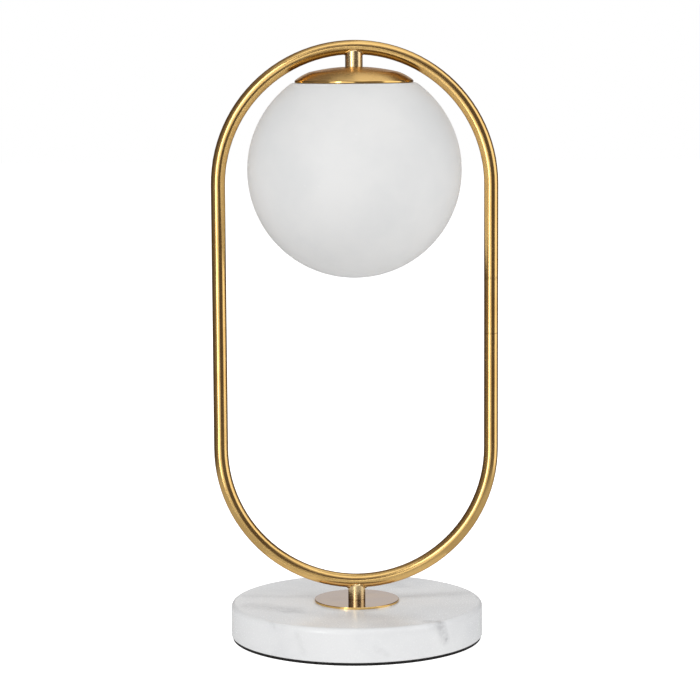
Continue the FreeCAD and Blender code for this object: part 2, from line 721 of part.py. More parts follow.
def make_clips():
    """Three leaf springs: riveted flat, bent down past the glass edge, bowed out under it."""
    level = -cell.clip_thickness / 2
    glass_drop = clip_plate_foot - glass_top
    waist = cell.globe_opening / 2 - cell.clip_gap - cell.clip_thickness / 2
    for number, angle in enumerate((90, 210, 330), start=1):
        label = "globe_clip_%d" % number
        line = doc.addObject("Sketcher::SketchObject", label + "_line")
        line.Placement = Placement(Vector(), Rotation(Vector(1, 0, 0), 90))
        draw_outline(line, [
            (cell.clip_start, level), (cell.clip_bend, level),
            (waist, -glass_drop, -cell.clip_bow_radius),
            (waist - cell.clip_tail_inset, -glass_drop - cell.clip_bow_drop)], closed=False)
        strip = doc.addObject("Part::Offset2D", label + "_strip")
        strip.Source = line
        strip.Mode = "Skin"
        strip.Fill = True
        bind(strip, "Value", cell.clip_thickness / 2)
        leaf = doc.addObject("Part::Extrusion", label + "_leaf")
        leaf.Base = strip
        leaf.DirMode = "Custom"
        leaf.Dir = Vector(0, 1, 0)
        leaf.Symmetric = True
        leaf.Solid = True
        bind(leaf, "LengthFwd", cell.clip_width)
        hole = doc.addObject("Part::Cylinder", label + "_hole")
        bind(hole, "Radius", cell.rivet_diameter / 2 + cell.fit_clearance)
        bind(hole, "Height", cell.clip_thickness * 4)
        bind(hole, "Placement.Base.x", cell.rivet_circle)
        bind(hole, "Placement.Base.z", -cell.clip_thickness * 2)
        clip = doc.addObject("Part::Cut", label)
        clip.Label = label
        clip.Base = leaf
        clip.Tool = hole
        clip.Placement = Placement(Vector(), Rotation(Vector(0, 0, 1), angle))
        bind(clip, "Placement.Base.z", clip_plate_foot)
        pieces[label] = clip


def make_rivets():
    """Three rivets: shank, flat set head above the plate, domed head under the clip."""
    body = new_body("clip_rivets")
    head, shank = cell.rivet_head_diameter / 2, cell.rivet_diameter / 2
    thickness = cell.clip_plate_thickness + cell.clip_thickness
    shanks = new_sketch(body, "shank_circles", "XY_Plane", -cell.clip_thickness)
    lower = new_sketch(body, "lower_head_circles", "XY_Plane", -cell.clip_thickness)
    upper = new_sketch(body, "upper_head_circles", "XY_Plane", cell.clip_plate_thickness)
    for across, back in rivet_places():
        draw_circle(shanks, shank, across, back)
        draw_circle(lower, head, across, back)
        draw_circle(upper, head, across, back)
    pad(body, shanks, thickness, "shanks")
    below = pad(body, lower, cell.rivet_head_height, "lower_heads")
    below.Reversed = True
    bind(below, "TaperAngle", -cell.rivet_head_taper)
    pad(body, upper, cell.rivet_set_height, "upper_heads")
    place(body, up=clip_plate_foot)


def make_globe():
    """Blown glass ball, cut open at the top."""
    body = new_body("glass_globe")
    outer = cell.globe_diameter / 2
    inner = outer - cell.globe_wall
    edge = leg(outer, glass_reach)
    turn(body, [
        (nothing, -outer, outer), (edge, glass_reach),
        (cell.globe_opening / 2, glass_reach, -inner), (nothing, -inner)])
    rings = [(edge, glass_reach), (cell.globe_opening / 2, glass_reach)]
    round_rings(body, rings, cell.globe_edge_rounding)
    place(body, up=globe_height)


def make_holder_cap():
    """Cap with a threaded neck and a rounded shoulder, hollow for the leads."""
    body = new_body("lampholder_cap")
    height, wall = cell.holder_cap_height, cell.holder_wall
    outer, neck = cell.holder_diameter / 2, cell.holder_neck_diameter / 2
    shoulder = height - cell.holder_neck_height
    round_size = outer - neck
    turn(body, [
        (outer - wall, nothing), (outer, nothing), (outer, shoulder - round_size, round_size),
        (neck, shoulder), (neck, height), (nipple_hole, height), (nipple_hole, shoulder - wall),
        (neck, shoulder - wall, wall - round_size), (outer - wall, shoulder - round_size)])
    place(body, up=body_top)


def make_holder_body():
    """Skirt: carries the contact insert on a shoulder and shrouds the screw shell."""
    body = new_body("lampholder_body")
    outer = cell.holder_diameter / 2
    seat = cell.insert_height + cell.fit_clearance * 2
    upper_bore = cell.insert_diameter / 2 + cell.fit_clearance
    lower_bore = shell_bore + cell.shell_wall + cell.hole_clearance
    mouth = cell.holder_mouth_diameter / 2
    foot = -cell.holder_body_height
    mouth_top = foot + cell.holder_mouth_depth
    turn(body, [
        (upper_bore, nothing), (upper_bore, -seat), (lower_bore, -seat),
        (lower_bore, mouth_top + (mouth - lower_bore)), (mouth, mouth_top), (mouth, foot),
        (outer, foot), (outer, nothing)])
    round_rings(body, [(outer, foot)], cell.holder_rim_rounding)
    place(body, up=body_top)


def insert_screw_places():
    """One screw beside each lead hole."""
    half_pitch = cell.insert_pitch / 2
    return [(half_pitch * side, cell.holder_screw_offset) for side in (-1, 1)]


def make_insert():
    """Contact insert with blind holes for the leads and the terminal screws."""
    body = new_body("contact_insert")
    turn(body, ring_outline(0, cell.insert_diameter / 2, 0, cell.insert_height))
    ways = new_sketch(body, "way_circles", "XY_Plane", cell.insert_height)
    for side in (-1, 1):
        draw_circle(ways, cell.insert_way / 2, cell.insert_pitch / 2 * side)
    pocket(body, ways, cell.insert_way_depth, "ways")
    wells = new_sketch(body, "well_circles", "XY_Plane", cell.insert_height)
    for across, back in insert_screw_places():
        draw_circle(wells, cell.clamp_screw_diameter / 2 + cell.fit_clearance, across, back)
    pocket(body, wells, cell.clamp_screw_length - cell.screw_slot_depth, "wells")
    place(body, up=insert_foot)


def make_holder_screws():
    rise = insert_foot + cell.insert_height - cell.clamp_screw_length + cell.screw_slot_depth
    slotted_screws("holder_screws", insert_screw_places(), nothing, rise)


def make_screw_shell():
    """Thin brass shell that takes the bulb's cap."""
    outline = ring_outline(shell_bore, shell_bore + cell.shell_wall, -cell.shell_length, 0)
    turned_piece("screw_shell", outline, insert_foot)


def make_centre_contact():
    """Spring tongue under the insert, bowed down to the bulb's contact."""
    body = new_body("centre_contact")
    outline = new_sketch(body, "outline", "XZ_Plane")
    end, sheet_thickness = cell.contact_length / 2, cell.shell_wall
    knee, bow = end - cell.contact_seat, cell.contact_bow / 2
    drop = -cell.contact_drop
    draw_outline(outline, [
        (-end, nothing), (-end, -sheet_thickness), (-knee, -sheet_thickness),
        (-bow, drop - sheet_thickness), (bow, drop - sheet_thickness),
        (knee, -sheet_thickness), (end, -sheet_thickness), (end, nothing), (knee, nothing),
        (bow, drop), (-bow, drop), (-knee, nothing)])
    pad(body, outline, cell.contact_width, "tongue", symmetric=True)
    place(body, up=insert_foot)


def make_bulb():
    """Small-cap bulb, hanging from its contact downwards."""
    tip, cap = cell.bulb_tip_diameter / 2, cell.bulb_cap_diameter / 2
    tip_foot = -cell.bulb_tip_height
    cap_top = tip_foot - cell.bulb_insulator_height
    cap_foot = cap_top - cell.bulb_cap_length
    inside = cap - cell.bulb_cap_wall
    turned_piece("bulb_contact", ring_outline(0, tip, tip_foot, 0), bulb_tip_height)
    turned_piece("bulb_insulator", [
        (nothing, cap_top), (inside, cap_top),
        (cell.bulb_insulator_width / 2, tip_foot - cell.bulb_insulator_cone),
        (tip, tip_foot), (nothing, tip_foot)], bulb_tip_height)
    wall, lip = cell.bulb_cap_wall, cell.bulb_cap_opening / 2
    turned_piece("bulb_cap", [
        (inside, cap_foot), (cap, cap_foot), (cap, cap_top), (lip, cap_top),
        (lip, cap_top - wall), (inside, cap_top - wall)], bulb_tip_height)
    envelope = cell.bulb_diameter / 2
    neck_radius = cell.bulb_neck_diameter / 2
    hollow = envelope - cell.bulb_wall
    neck_reach = bulb_centre_drop - bulb_neck_drop
    plug = leg(hollow, neck_reach) - cell.bulb_clearance
    throat = cell.bulb_throat_diameter / 2
    board_top = -bulb_neck_drop - cell.board_thickness
    plug_top = cap_foot + cell.bulb_plug_length
    turned_piece("bulb_housing", [
        (nothing, plug_top), (inside - cell.fit_clearance, plug_top),
        (inside - cell.fit_clearance, cap_foot), (throat, cap_foot),
        (throat, cap_foot - cell.bulb_throat_length), (neck_radius, -bulb_neck_drop),
        (plug, -bulb_neck_drop), (plug, board_top), (nothing, board_top)], bulb_tip_height)
    board_foot = board_top - cell.board_thickness
    turned_piece("led_board", ring_outline(0, plug, board_foot, board_top), bulb_tip_height)
    turned_piece("bulb_envelope", [
        (leg(hollow, neck_reach), -bulb_neck_drop, -hollow),
        (nothing, -bulb_centre_drop - hollow), (nothing, -bulb_centre_drop - envelope, envelope),
        (neck_radius, -bulb_neck_drop)], bulb_tip_height)
    make_chips(board_foot)


def make_chips(board_foot):
    """Six chips in a ring on the board, each a solid of its own."""
    body = new_body("led_chips")
    boxes = new_sketch(body, "chip_boxes", "XY_Plane", board_foot)
    half_chip, circle = cell.chip_size / 2, cell.chip_circle
    half_root = as_size(3).root() / 2
    centres = [(circle, nothing), (-circle, nothing)]
    for side in (-1, 1):
        for end in (-1, 1):
            centres.append((circle / 2 * side, circle * half_root * end))
    for across, back in centres:
        draw_outline(boxes, box_corners(
            across - half_chip, across + half_chip, back - half_chip, back + half_chip))
    chips = pad(body, boxes, cell.chip_height, "chips")
    chips.Reversed = True
    place(body, up=bulb_tip_height)


def polar(centre, radius, angle):
    """A point of a circle in the XZ plane."""
    return centre + Vector(math.cos(angle), 0, math.sin(angle)) * radius


def arc_in_plane(centre, radius, first, last):
    """An arc in the XZ plane, from one angle to another either way round."""
    points = [polar(centre, radius, angle) for angle in (first, (first + last) / 2, last)]
    return Part.Arc(*points).toShape()


def bent_run(points, radius):
    """Straight runs through points, joined by tangent arcs."""
    edges = []
    start = points[0]
    for before, corner, after in zip(points, points[1:], points[2:]):
        back = (before - corner).normalize()
        ahead = (after - corner).normalize()
        half_turn = (math.pi - back.getAngle(ahead)) / 2
        reach = radius * math.tan(half_turn)
        bend_start = corner + back * reach
        bend_end = corner + ahead * reach
        middle = corner + (back + ahead).normalize() * radius * (1 / math.cos(half_turn) - 1)
        edges.append(Part.LineSegment(start, bend_start).toShape())
        edges.append(Part.Arc(bend_start, middle, bend_end).toShape())
        start = bend_end
    edges.append(Part.LineSegment(start, points[-1]).toShape())
    return edges


def lead_route(side):
    """One lead from the terminal block up the left leg to the contact insert.

    The two leads lie in the XZ plane, one outside the other, so they never cross.
    """
    spacing = cell.lead_spacing.amount / 2
    bend, turn_radius = cell.lead_bend.amount, cell.lead_turn.amount
    ring = cell.loop_radius.amount + side * spacing
    low_bend = bend + (1 - side) * spacing
    high_bend = bend + (1 + side) * spacing
    hub = -spacing - bend

    low_centre = Vector(0, 0, lower_arc_height.amount)
    high_centre = Vector(0, 0, upper_arc_height.amount)
    low_hub = low_centre + Vector(hub, 0, -math.sqrt((ring + low_bend) ** 2 - hub ** 2))
    high_hub = high_centre + Vector(hub, 0, math.sqrt((ring - high_bend) ** 2 - hub ** 2))
    low_angle = math.atan2(low_centre.z - low_hub.z, low_centre.x - low_hub.x)
    high_angle = math.atan2(high_hub.z - high_centre.z, high_hub.x - high_centre.x)

    block_front = cell.block_distance.amount
    block_height = stone_foot.amount + cell.block_way_rise.amount
    pole = -side * cell.block_pitch.amount / 2
    knee = Vector(pole, block_front - turn_radius, block_height)
    block_back = block_front + cell.block_width.amount
    clamp = Vector(pole, block_back - cell.lead_end_inset.amount, block_height)
    base_points = [
        clamp, knee, Vector(-side * spacing, 0, block_height),
        Vector(-side * spacing, 0, low_hub.z)]
    insert_top = insert_foot.amount + cell.insert_height.amount
    way_end = insert_top - cell.insert_way_depth.amount + cell.lead_end_inset.amount
    contact = side * cell.insert_pitch.amount / 2
    nipple_foot = holder_top.amount - cell.holder_neck_height.amount
    holder_points = [
        Vector(side * spacing, 0, high_hub.z), Vector(side * spacing, 0, nipple_foot - turn_radius),
        Vector(contact, 0, insert_top + turn_radius), Vector(contact, 0, way_end)]

    return Part.Wire(
        bent_run(base_points, turn_radius)
        + [arc_in_plane(low_hub, low_bend, 0, low_angle),
           arc_in_plane(low_centre, ring, low_angle - math.pi, -math.pi),
           Part.LineSegment(polar(low_centre, ring, math.pi),
                            polar(high_centre, ring, math.pi)).toShape(),
           arc_in_plane(high_centre, ring, math.pi, high_angle),
           arc_in_plane(high_hub, high_bend, high_angle, 0)]
        + bent_run(holder_points, turn_radius))


def make_lead(label, side):
    """A round lead swept along its route."""
    route = lead_route(side)
    start = route.Edges[0]
    circle = Part.Circle(start.valueAt(start.FirstParameter),
                         start.tangentAt(start.FirstParameter), cell.lead_diameter.amount / 2)
    solid = route.makePipeShell([Part.Wire(circle.toShape())], True, True)
    expected = math.pi * (cell.lead_diameter.amount / 2) ** 2 * route.Length
    if abs(solid.Volume - expected) > expected / 100:
        raise RuntimeError("%s: volume %.1f, expected %.1f" % (label, solid.Volume, expected))
    lead = doc.addObject("Part::Feature", label)
    lead.Label = label
    lead.Shape = solid
    lead.Placement = Placement()
    pieces[label] = lead


make_pad()
make_stone()
make_gland()
make_block()
make_clamp_screws()
make_washer()
make_spring_washer()
make_nut("base_nut", base_nut_foot)
make_nipple("base_nipple", base_nut_foot - cell.nipple_end,
            plate_top + cell.stem_thread_depth - cell.nipple_stop)
make_plate()
make_stem("lower_stem", cell.lower_stem_height, plate_top)
make_tube()
make_stem("upper_stem", cell.upper_stem_height, dome_top, flipped=True)
make_nipple("upper_nipple", holder_top - cell.holder_neck_height,
            dome_top + cell.stem_thread_depth - cell.nipple_stop)
make_dome()
make_nut("canopy_nut", canopy_nut_foot)
make_clip_plate()
make_clips()
make_rivets()
make_nut("clip_nut", clip_plate_foot - cell.nut_thickness)
make_globe()
make_holder_cap()
make_holder_body()
make_insert()
make_holder_screws()
make_screw_shell()
make_centre_contact()
make_bulb()
make_lead("live_lead", 1)
make_lead("neutral_lead", -1)
doc.recompute()

for item in doc.Objects:
    if "Invalid" in item.State or "Error" in item.State:
        raise RuntimeError("%s did not build: %s" % (item.Label, item.State))
for label, piece in pieces.items():
    if piece.Shape.isNull() or not piece.Shape.isValid():
        raise RuntimeError("%s has no sound shape" % label)

os.makedirs("parts", exist_ok=True)
for label, piece in pieces.items():
    piece.Shape.exportStep("parts/%s.step" % label)
    box = piece.Shape.optimalBoundingBox()
    print("%-16s solids %d  volume %10.1f  z %7.2f to %7.2f" % (
        label, len(piece.Shape.Solids), piece.Shape.Volume, box.ZMin, box.ZMax))
print("%d pieces" % len(pieces))
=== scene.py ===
import math

import bpy
from mathutils import Matrix, Vector, noise


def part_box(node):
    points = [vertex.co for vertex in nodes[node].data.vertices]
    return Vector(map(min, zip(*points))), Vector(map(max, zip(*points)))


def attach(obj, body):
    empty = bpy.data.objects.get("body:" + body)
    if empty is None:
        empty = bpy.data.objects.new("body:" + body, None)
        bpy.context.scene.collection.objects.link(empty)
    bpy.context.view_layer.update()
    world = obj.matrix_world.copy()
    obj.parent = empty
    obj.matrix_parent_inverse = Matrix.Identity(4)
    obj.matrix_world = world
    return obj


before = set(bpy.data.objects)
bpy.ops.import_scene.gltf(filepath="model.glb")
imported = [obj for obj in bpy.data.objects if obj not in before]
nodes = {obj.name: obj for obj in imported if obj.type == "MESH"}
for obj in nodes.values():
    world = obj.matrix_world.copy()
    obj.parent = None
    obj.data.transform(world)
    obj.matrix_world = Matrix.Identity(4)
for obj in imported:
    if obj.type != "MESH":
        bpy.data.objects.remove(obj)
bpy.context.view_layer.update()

print("frame loaded:", len(nodes), "nodes")

# heights and radii that the finishes and the new pieces take from the solids
tubeLow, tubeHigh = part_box("frame_tube")
tubeRadius = (tubeHigh.y - tubeLow.y) / 2
loopRadius = (tubeHigh.x - tubeLow.x) / 2 - tubeRadius
lowArcZ = tubeLow.z + tubeRadius + loopRadius
highArcZ = tubeHigh.z - tubeRadius - loopRadius
plateLow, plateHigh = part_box("base_plate")
plateRadius = (plateHigh.x - plateLow.x) / 2
stemLow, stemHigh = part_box("lower_stem")
stemRadius = (stemHigh.x - stemLow.x) / 2
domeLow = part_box("canopy_dome")[0]


cameraSetup = {
    "distance": 1.75127,     # metres in front of the lamp's axis
    "height": 0.42230,
    "tilt": 0.1231,          # radians down
    "roll": -0.0058,
    "pan": -0.0022,
    "lens": 128.67,
    "sensor": 36,            # mm wide
    "farClip": 50,
}


def makeCamera():
    data = bpy.data.cameras.new("camera")
    data.lens = cameraSetup["lens"]
    data.sensor_width = cameraSetup["sensor"]
    data.sensor_fit = "HORIZONTAL"
    data.clip_end = cameraSetup["farClip"]
    camera = bpy.data.objects.new("camera", data)
    bpy.context.scene.collection.objects.link(camera)
    turn = (Matrix.Rotation(-cameraSetup["pan"], 4, "Z")
            @ Matrix.Rotation(math.pi / 2 - cameraSetup["tilt"], 4, "X")
            @ Matrix.Rotation(cameraSetup["roll"], 4, "Z"))
    place = Vector((0, -cameraSetup["distance"], cameraSetup["height"]))
    camera.matrix_world = Matrix.Translation(place) @ turn
    bpy.context.scene.camera = camera


makeCamera()
print("camera placed")


white = (1, 1, 1, 1)
bumpDistance = 0.0001        # metres, for all but the foam's cells
# the values that noise mostly takes, in fine lines and in wide patches
lineSpan = (0.3, 0.7)
patchSpan = (0.35, 0.65)


def feed(tree, socket, value):
    if isinstance(value, bpy.types.NodeSocket):
        tree.links.new(value, socket)
    else:
        socket.default_value = value


def put(tree, kind, settings=None, **inputs):
    node = tree.nodes.new("ShaderNode" + kind)
    for name, value in (settings or {}).items():
        setattr(node, name, value)
    for name, value in inputs.items():
        feed(tree, node.inputs[name], value)
    return node


def calc(tree, operation, first, second=0.0):
    node = put(tree, "Math", {"operation": operation})
    feed(tree, node.inputs[0], first)
    feed(tree, node.inputs[1], second)
    return node.outputs[0]


def calcVector(tree, operation, *values, output=0):
    node = put(tree, "VectorMath", {"operation": operation})
    for socket, value in zip(node.inputs, values):
        feed(tree, socket, value)
    return node.outputs[output]


def blendValues(tree, factor, first, second):
    difference = calc(tree, "SUBTRACT", second, first)
    return calc(tree, "ADD", first, calc(tree, "MULTIPLY", difference, factor))


def blendColours(tree, factor, first, second):
    node = put(tree, "Mix", {"data_type": "RGBA"})
    # the colour mix's own sockets: a mix node also has some for the other kinds of data
    for index, value in ((0, factor), (6, first), (7, second)):
        feed(tree, node.inputs[index], value)
    return node.outputs[2]


def rescale(tree, value, fromLow, fromHigh, toLow, toHigh, smooth=False):
    kind = "SMOOTHSTEP" if smooth else "LINEAR"
    node = put(tree, "MapRange", {"interpolation_type": kind, "clamp": True})
    for socket, amount in zip(node.inputs[:5], (value, fromLow, fromHigh, toLow, toHigh)):
        feed(tree, socket, amount)
    return node.outputs[0]


def window(tree, value, low, high, soft):
    # 1 between low and high, falling to 0 over the soft edge
    rise = rescale(tree, value, low - soft, low + soft, 0.0, 1.0, smooth=True)
    fall = rescale(tree, value, high - soft, high + soft, 1.0, 0.0, smooth=True)
    return calc(tree, "MULTIPLY", rise, fall)


def noiseOf(tree, place, scale, detail=2.0, roughness=0.5, distortion=0.0):
    return put(tree, "TexNoise", Vector=place, Scale=scale, Detail=detail,
               Roughness=roughness, Distortion=distortion).outputs[0]


def bumpOf(tree, height, strength, distance=bumpDistance):
    return put(tree, "Bump", Strength=strength, Distance=distance, Height=height).outputs[0]


def vectorOf(tree, x, y, z):
    return put(tree, "CombineXYZ", X=x, Y=y, Z=z).outputs[0]


def objectPlace(tree):
    return put(tree, "TexCoord").outputs["Object"]


def splitPlace(tree):
    return put(tree, "SeparateXYZ", Vector=objectPlace(tree)).outputs


def reachOf(tree, first, second):
    return calc(tree, "SQRT", calc(tree, "ADD", calc(tree, "MULTIPLY", first, first),
                                   calc(tree, "MULTIPLY", second, second)))


def seenRays(tree):
    # camera rays, what shows in metal, and what shows through glass
    path = put(tree, "LightPath")
    names = ("Is Camera Ray", "Is Glossy Ray", "Is Transmission Ray")
    return [path.outputs[name] for name in names]


def newMaterial(name):
    material = bpy.data.materials.new(name)
    material.use_nodes = True
    tree = material.node_tree
    tree.nodes.clear()
    output = put(tree, "OutputMaterial")
    shader = put(tree, "BsdfPrincipled")
    tree.links.new(shader.outputs[0], output.inputs["Surface"])
    return material, tree, shader


def setSurface(tree, shader, colour, rough, normal, metallic=0.0):
    feed(tree, shader.inputs["Base Color"], colour)
    feed(tree, shader.inputs["Roughness"], rough)
    feed(tree, shader.inputs["Normal"], normal)
    shader.inputs["Metallic"].default_value = metallic


def linkedTo(shader, name):
    return shader.inputs[name].links[0].from_socket


def newGroup(name, inputs, outputs):
    group = bpy.data.node_groups.new(name, "ShaderNodeTree")
    for label, kind, value in inputs:
        socket = group.interface.new_socket(name=label, in_out="INPUT", socket_type=kind)
        if value is not None:
            socket.default_value = value
    for label, kind in outputs:
        group.interface.new_socket(name=label, in_out="OUTPUT", socket_type=kind)
    return group, group.nodes.new("NodeGroupInput"), group.nodes.new("NodeGroupOutput")


def useGroup(tree, group, **inputs):
    return put(tree, "Group", {"node_tree": group}, **inputs)


def dress(material, *names):
    for name in names:
        piece = nodes[name]
        piece.data.materials.clear()
        piece.data.materials.append(material)


brushing = {
    "patchScale": 55.0,
    "bump": 0.1,             # for a depth of 1
}


def makeBrushGroup():
    # fine scratches; the vector holds two ways across them and one along, in metres
    group, into, out = newGroup("brushedLines", [
        ("Vector", "NodeSocketVector", None), ("Lines", "NodeSocketFloat", 9000.0),
        ("Wander", "NodeSocketFloat", 60.0), ("Depth", "NodeSocketFloat", 1.0)], [
        ("Lines", "NodeSocketFloat"), ("Patches", "NodeSocketFloat"),
        ("Normal", "NodeSocketVector")])
    place, lines = into.outputs["Vector"], into.outputs["Lines"]
    parts = put(group, "SeparateXYZ", Vector=place).outputs
    stretched = vectorOf(group, calc(group, "MULTIPLY", parts[0], lines),
                         calc(group, "MULTIPLY", parts[1], lines),
                         calc(group, "MULTIPLY", parts[2], into.outputs["Wander"]))
    fine = noiseOf(group, stretched, 1.0, detail=3.0, roughness=0.6)
    coarse = noiseOf(group, place, brushing["patchScale"], detail=3.0, roughness=0.55)
    strength = calc(group, "MULTIPLY", into.outputs["Depth"], brushing["bump"])
    group.links.new(fine, out.inputs["Lines"])
    group.links.new(coarse, out.inputs["Patches"])
    group.links.new(bumpOf(group, fine, strength), out.inputs["Normal"])
    return group


touched = {
    # noise from and to, then amount from and to
    "marks": (0.42, 0.66, 0.0, 1.0),
    "dust": (0.62, 0.72, 0.0, 1.0),
    "dustFineness": 40.0,    # against the scale of the marks
}


def makeHandlingGroup():
    # faint finger marks in slow clouds, and fine specks of dust
    group, into, out = newGroup("handling", [
        ("Vector", "NodeSocketVector", None), ("Scale", "NodeSocketFloat", 30.0)], [
        ("Marks", "NodeSocketFloat"), ("Dust", "NodeSocketFloat")])
    place, scale = into.outputs["Vector"], into.outputs["Scale"]
    cloud = noiseOf(group, place, scale, detail=5.0, roughness=0.62, distortion=0.6)
    specks = noiseOf(group, place, calc(group, "MULTIPLY", scale, touched["dustFineness"]))
    marks = rescale(group, cloud, *touched["marks"], smooth=True)
    dust = rescale(group, specks, *touched["dust"], smooth=True)
    group.links.new(marks, out.inputs["Marks"])
    group.links.new(dust, out.inputs["Dust"])
    return group


brushedLines = makeBrushGroup()
handling = makeHandlingGroup()


def legHeight(tree, z):
    # the nearest height on the straight legs, and how far z lies beyond it on an arc
    level = calc(tree, "MINIMUM", calc(tree, "MAXIMUM", z, lowArcZ), highArcZ)
    return level, calc(tree, "SUBTRACT", z, level)


def tubeCoordinates(tree):
    # across and beside the tube's centre line, and the way along it
    legApart = 0.7           # metres of pattern between the two legs, so that they differ
    x, y, z = splitPlace(tree)
    level, rise = legHeight(tree, z)
    across = calc(tree, "SUBTRACT", reachOf(tree, x, rise), loopRadius)
    angle = calc(tree, "ARCTAN2", rise, calc(tree, "ABSOLUTE", x))
    along = calc(tree, "ADD", level, calc(tree, "MULTIPLY", angle, loopRadius))
    side = calc(tree, "MULTIPLY", calc(tree, "SIGN", x), legApart)
    return vectorOf(tree, across, y, calc(tree, "ADD", along, side))


def turnedCoordinates(tree):
    # rings round the upright axis: the lines run round the piece
    ringLength = 0.02        # metres of pattern for a radian
    x, y, z = splitPlace(tree)
    around = calc(tree, "MULTIPLY", calc(tree, "ARCTAN2", y, x), ringLength)
    return vectorOf(tree, reachOf(tree, x, y), z, around)


def setTurnedGrain(tree, shader, anisotropy):
    # brushed on a lathe: the rings throw light in fans
    shader.inputs["Anisotropic"].default_value = anisotropy
    shader.inputs["Anisotropic Rotation"].default_value = 0.25
    turn = put(tree, "Tangent", {"direction_type": "RADIAL", "axis": "Z"})
    feed(tree, shader.inputs["Tangent"], turn.outputs[0])


brass = {
    "light": (0.88, 0.575, 0.205, 1),
    "deep": (0.80, 0.50, 0.165, 1),
    "edge": (0.68, 0.45, 0.26, 1),   # brown where the surface turns away
    "streaks": 0.25,
    "smudgeScale": 26.0,
    "smudge": 0.04,                  # how much rougher a finger mark is
    "lacquer": 0.4,
    "lacquerRoughness": 0.08,
}


def brassMaterial(name, coordinates, roughness, swing=0.05, lines=9000.0, wander=60.0,
                  depth=1.0):
    material, tree, shader = newMaterial(name)
    brush = useGroup(tree, brushedLines, Vector=coordinates(tree), Lines=lines, Wander=wander,
                     Depth=depth)
    smudges = useGroup(tree, handling, Vector=objectPlace(tree), Scale=brass["smudgeScale"])
    tone = rescale(tree, brush.outputs["Patches"], *patchSpan, 0.0, 1.0)
    colour = blendColours(tree, tone, brass["deep"], brass["light"])
    streak = rescale(tree, brush.outputs["Lines"], *lineSpan, 0.0, brass["streaks"])
    colour = blendColours(tree, streak, colour, brass["light"])
    base = rescale(tree, brush.outputs["Lines"], *lineSpan, roughness - swing,
                   roughness + swing)
    worn = calc(tree, "MULTIPLY", smudges.outputs["Marks"], brass["smudge"])
    setSurface(tree, shader, colour, calc(tree, "ADD", base, worn), brush.outputs["Normal"],
               metallic=1.0)
    shader.inputs["Specular Tint"].default_value = brass["edge"]
    shader.inputs["Coat Weight"].default_value = brass["lacquer"]
    shader.inputs["Coat Roughness"].default_value = brass["lacquerRoughness"]
    return material, tree, shader


tube = {
    "roughness": 0.17,
    "anisotropy": 0.5,           # brushed round the tube: light spreads along it
    "rightLeg": (0.08, 0.09),    # beyond this x the two marks show
    # height, half width and soft edge
    "seam": (0.2172, 0.00035, 0.00025),      # where the tube's two ends are welded
    "blemish": (0.2563, 0.0016, 0.001),
    "seamShare": 0.55,
    "blemishShare": (0.40, 0.60, 0.0, 0.5),  # noise from and to, then share from and to
    "waver": 0.0002,
    "waverScale": 260.0,
    "markColour": (0.30, 0.165, 0.06, 1),
}


def tubeMaterial():
    material, tree, shader = brassMaterial("brushedTubeBrass", tubeCoordinates,
                                           tube["roughness"])
    x, _, z = splitPlace(tree)
    onRight = rescale(tree, x, *tube["rightLeg"], 0.0, 1.0)
    wave = noiseOf(tree, objectPlace(tree), tube["waverScale"])
    shift = rescale(tree, wave, *lineSpan, -tube["waver"], tube["waver"])
    shifted = calc(tree, "ADD", z, shift)

    def band(height, half, soft):
        return window(tree, shifted, height - half, height + half, soft)

    seam = calc(tree, "MULTIPLY", band(*tube["seam"]), tube["seamShare"])
    patchy = rescale(tree, wave, *tube["blemishShare"])
    blemish = calc(tree, "MULTIPLY", band(*tube["blemish"]), patchy)
    mark = calc(tree, "MULTIPLY", calc(tree, "ADD", seam, blemish), onRight)
    colour = blendColours(tree, mark, linkedTo(shader, "Base Color"), tube["markColour"])
    feed(tree, shader.inputs["Base Color"], colour)
    _, rise = legHeight(tree, z)
    along = vectorOf(tree, calc(tree, "MULTIPLY", rise, -1.0), 0.0, x)
    feed(tree, shader.inputs["Tangent"], calcVector(tree, "NORMALIZE", along))
    shader.inputs["Anisotropic"].default_value = tube["anisotropy"]
    return material


stem = {
    "roughness": 0.25,
    "anisotropy": 0.1,
    "paleHighlight": (1.0, 0.79, 0.45, 1),   # turned and buffed; paler than the tube partly as painted highlight, so that its reflections show whiter
    "paleHighlightShare": 0.75,
    "footLine": (0.20, 0.11, 0.04, 1),   # a fine darker line at its foot, where it stands on the plate
    "footLineShare": 0.85,
    "footLineHeight": 0.0003,
}


def stemMaterial():
    material, tree, shader = brassMaterial("turnedStemBrass", turnedCoordinates,
                                           stem["roughness"], swing=0.03, lines=5000.0,
                                           depth=0.4)
    z = splitPlace(tree)[2]
    # painted highlight in part: the stem's colour moves most of the way to the pale tone so
    # that its reflections show whiter
    colour = blendColours(tree, stem["paleHighlightShare"], linkedTo(shader, "Base Color"),
                          stem["paleHighlight"])
    # darker in a fine line at the foot of the stem, just above the plate
    low = rescale(tree, z, plateHigh.z, plateHigh.z + stem["footLineHeight"],
                  stem["footLineShare"], 0.0, smooth=True)
    feed(tree, shader.inputs["Base Color"], blendColours(tree, low, colour, stem["footLine"]))
    setTurnedGrain(tree, shader, stem["anisotropy"])
    return material


dome = {
    "roughness": 0.27,
    "rimRoughness": 0.05,
    "rimHeight": 0.0015,         # the rolled rim is polished brighter than the spun face
    "rimSoft": 0.0005,
    "dull": (0.88, 0.58, 0.24, 1),
    "dullShare": 0.55,
    "edge": (0.74, 0.58, 0.42, 1),
    "shade": (0.36, 0.25, 0.11, 1),   # painted shade: the darker colour the dome shows only in reflections, as in the tube above
    "lacquer": 0.1,
    "anisotropy": 0.75,
}


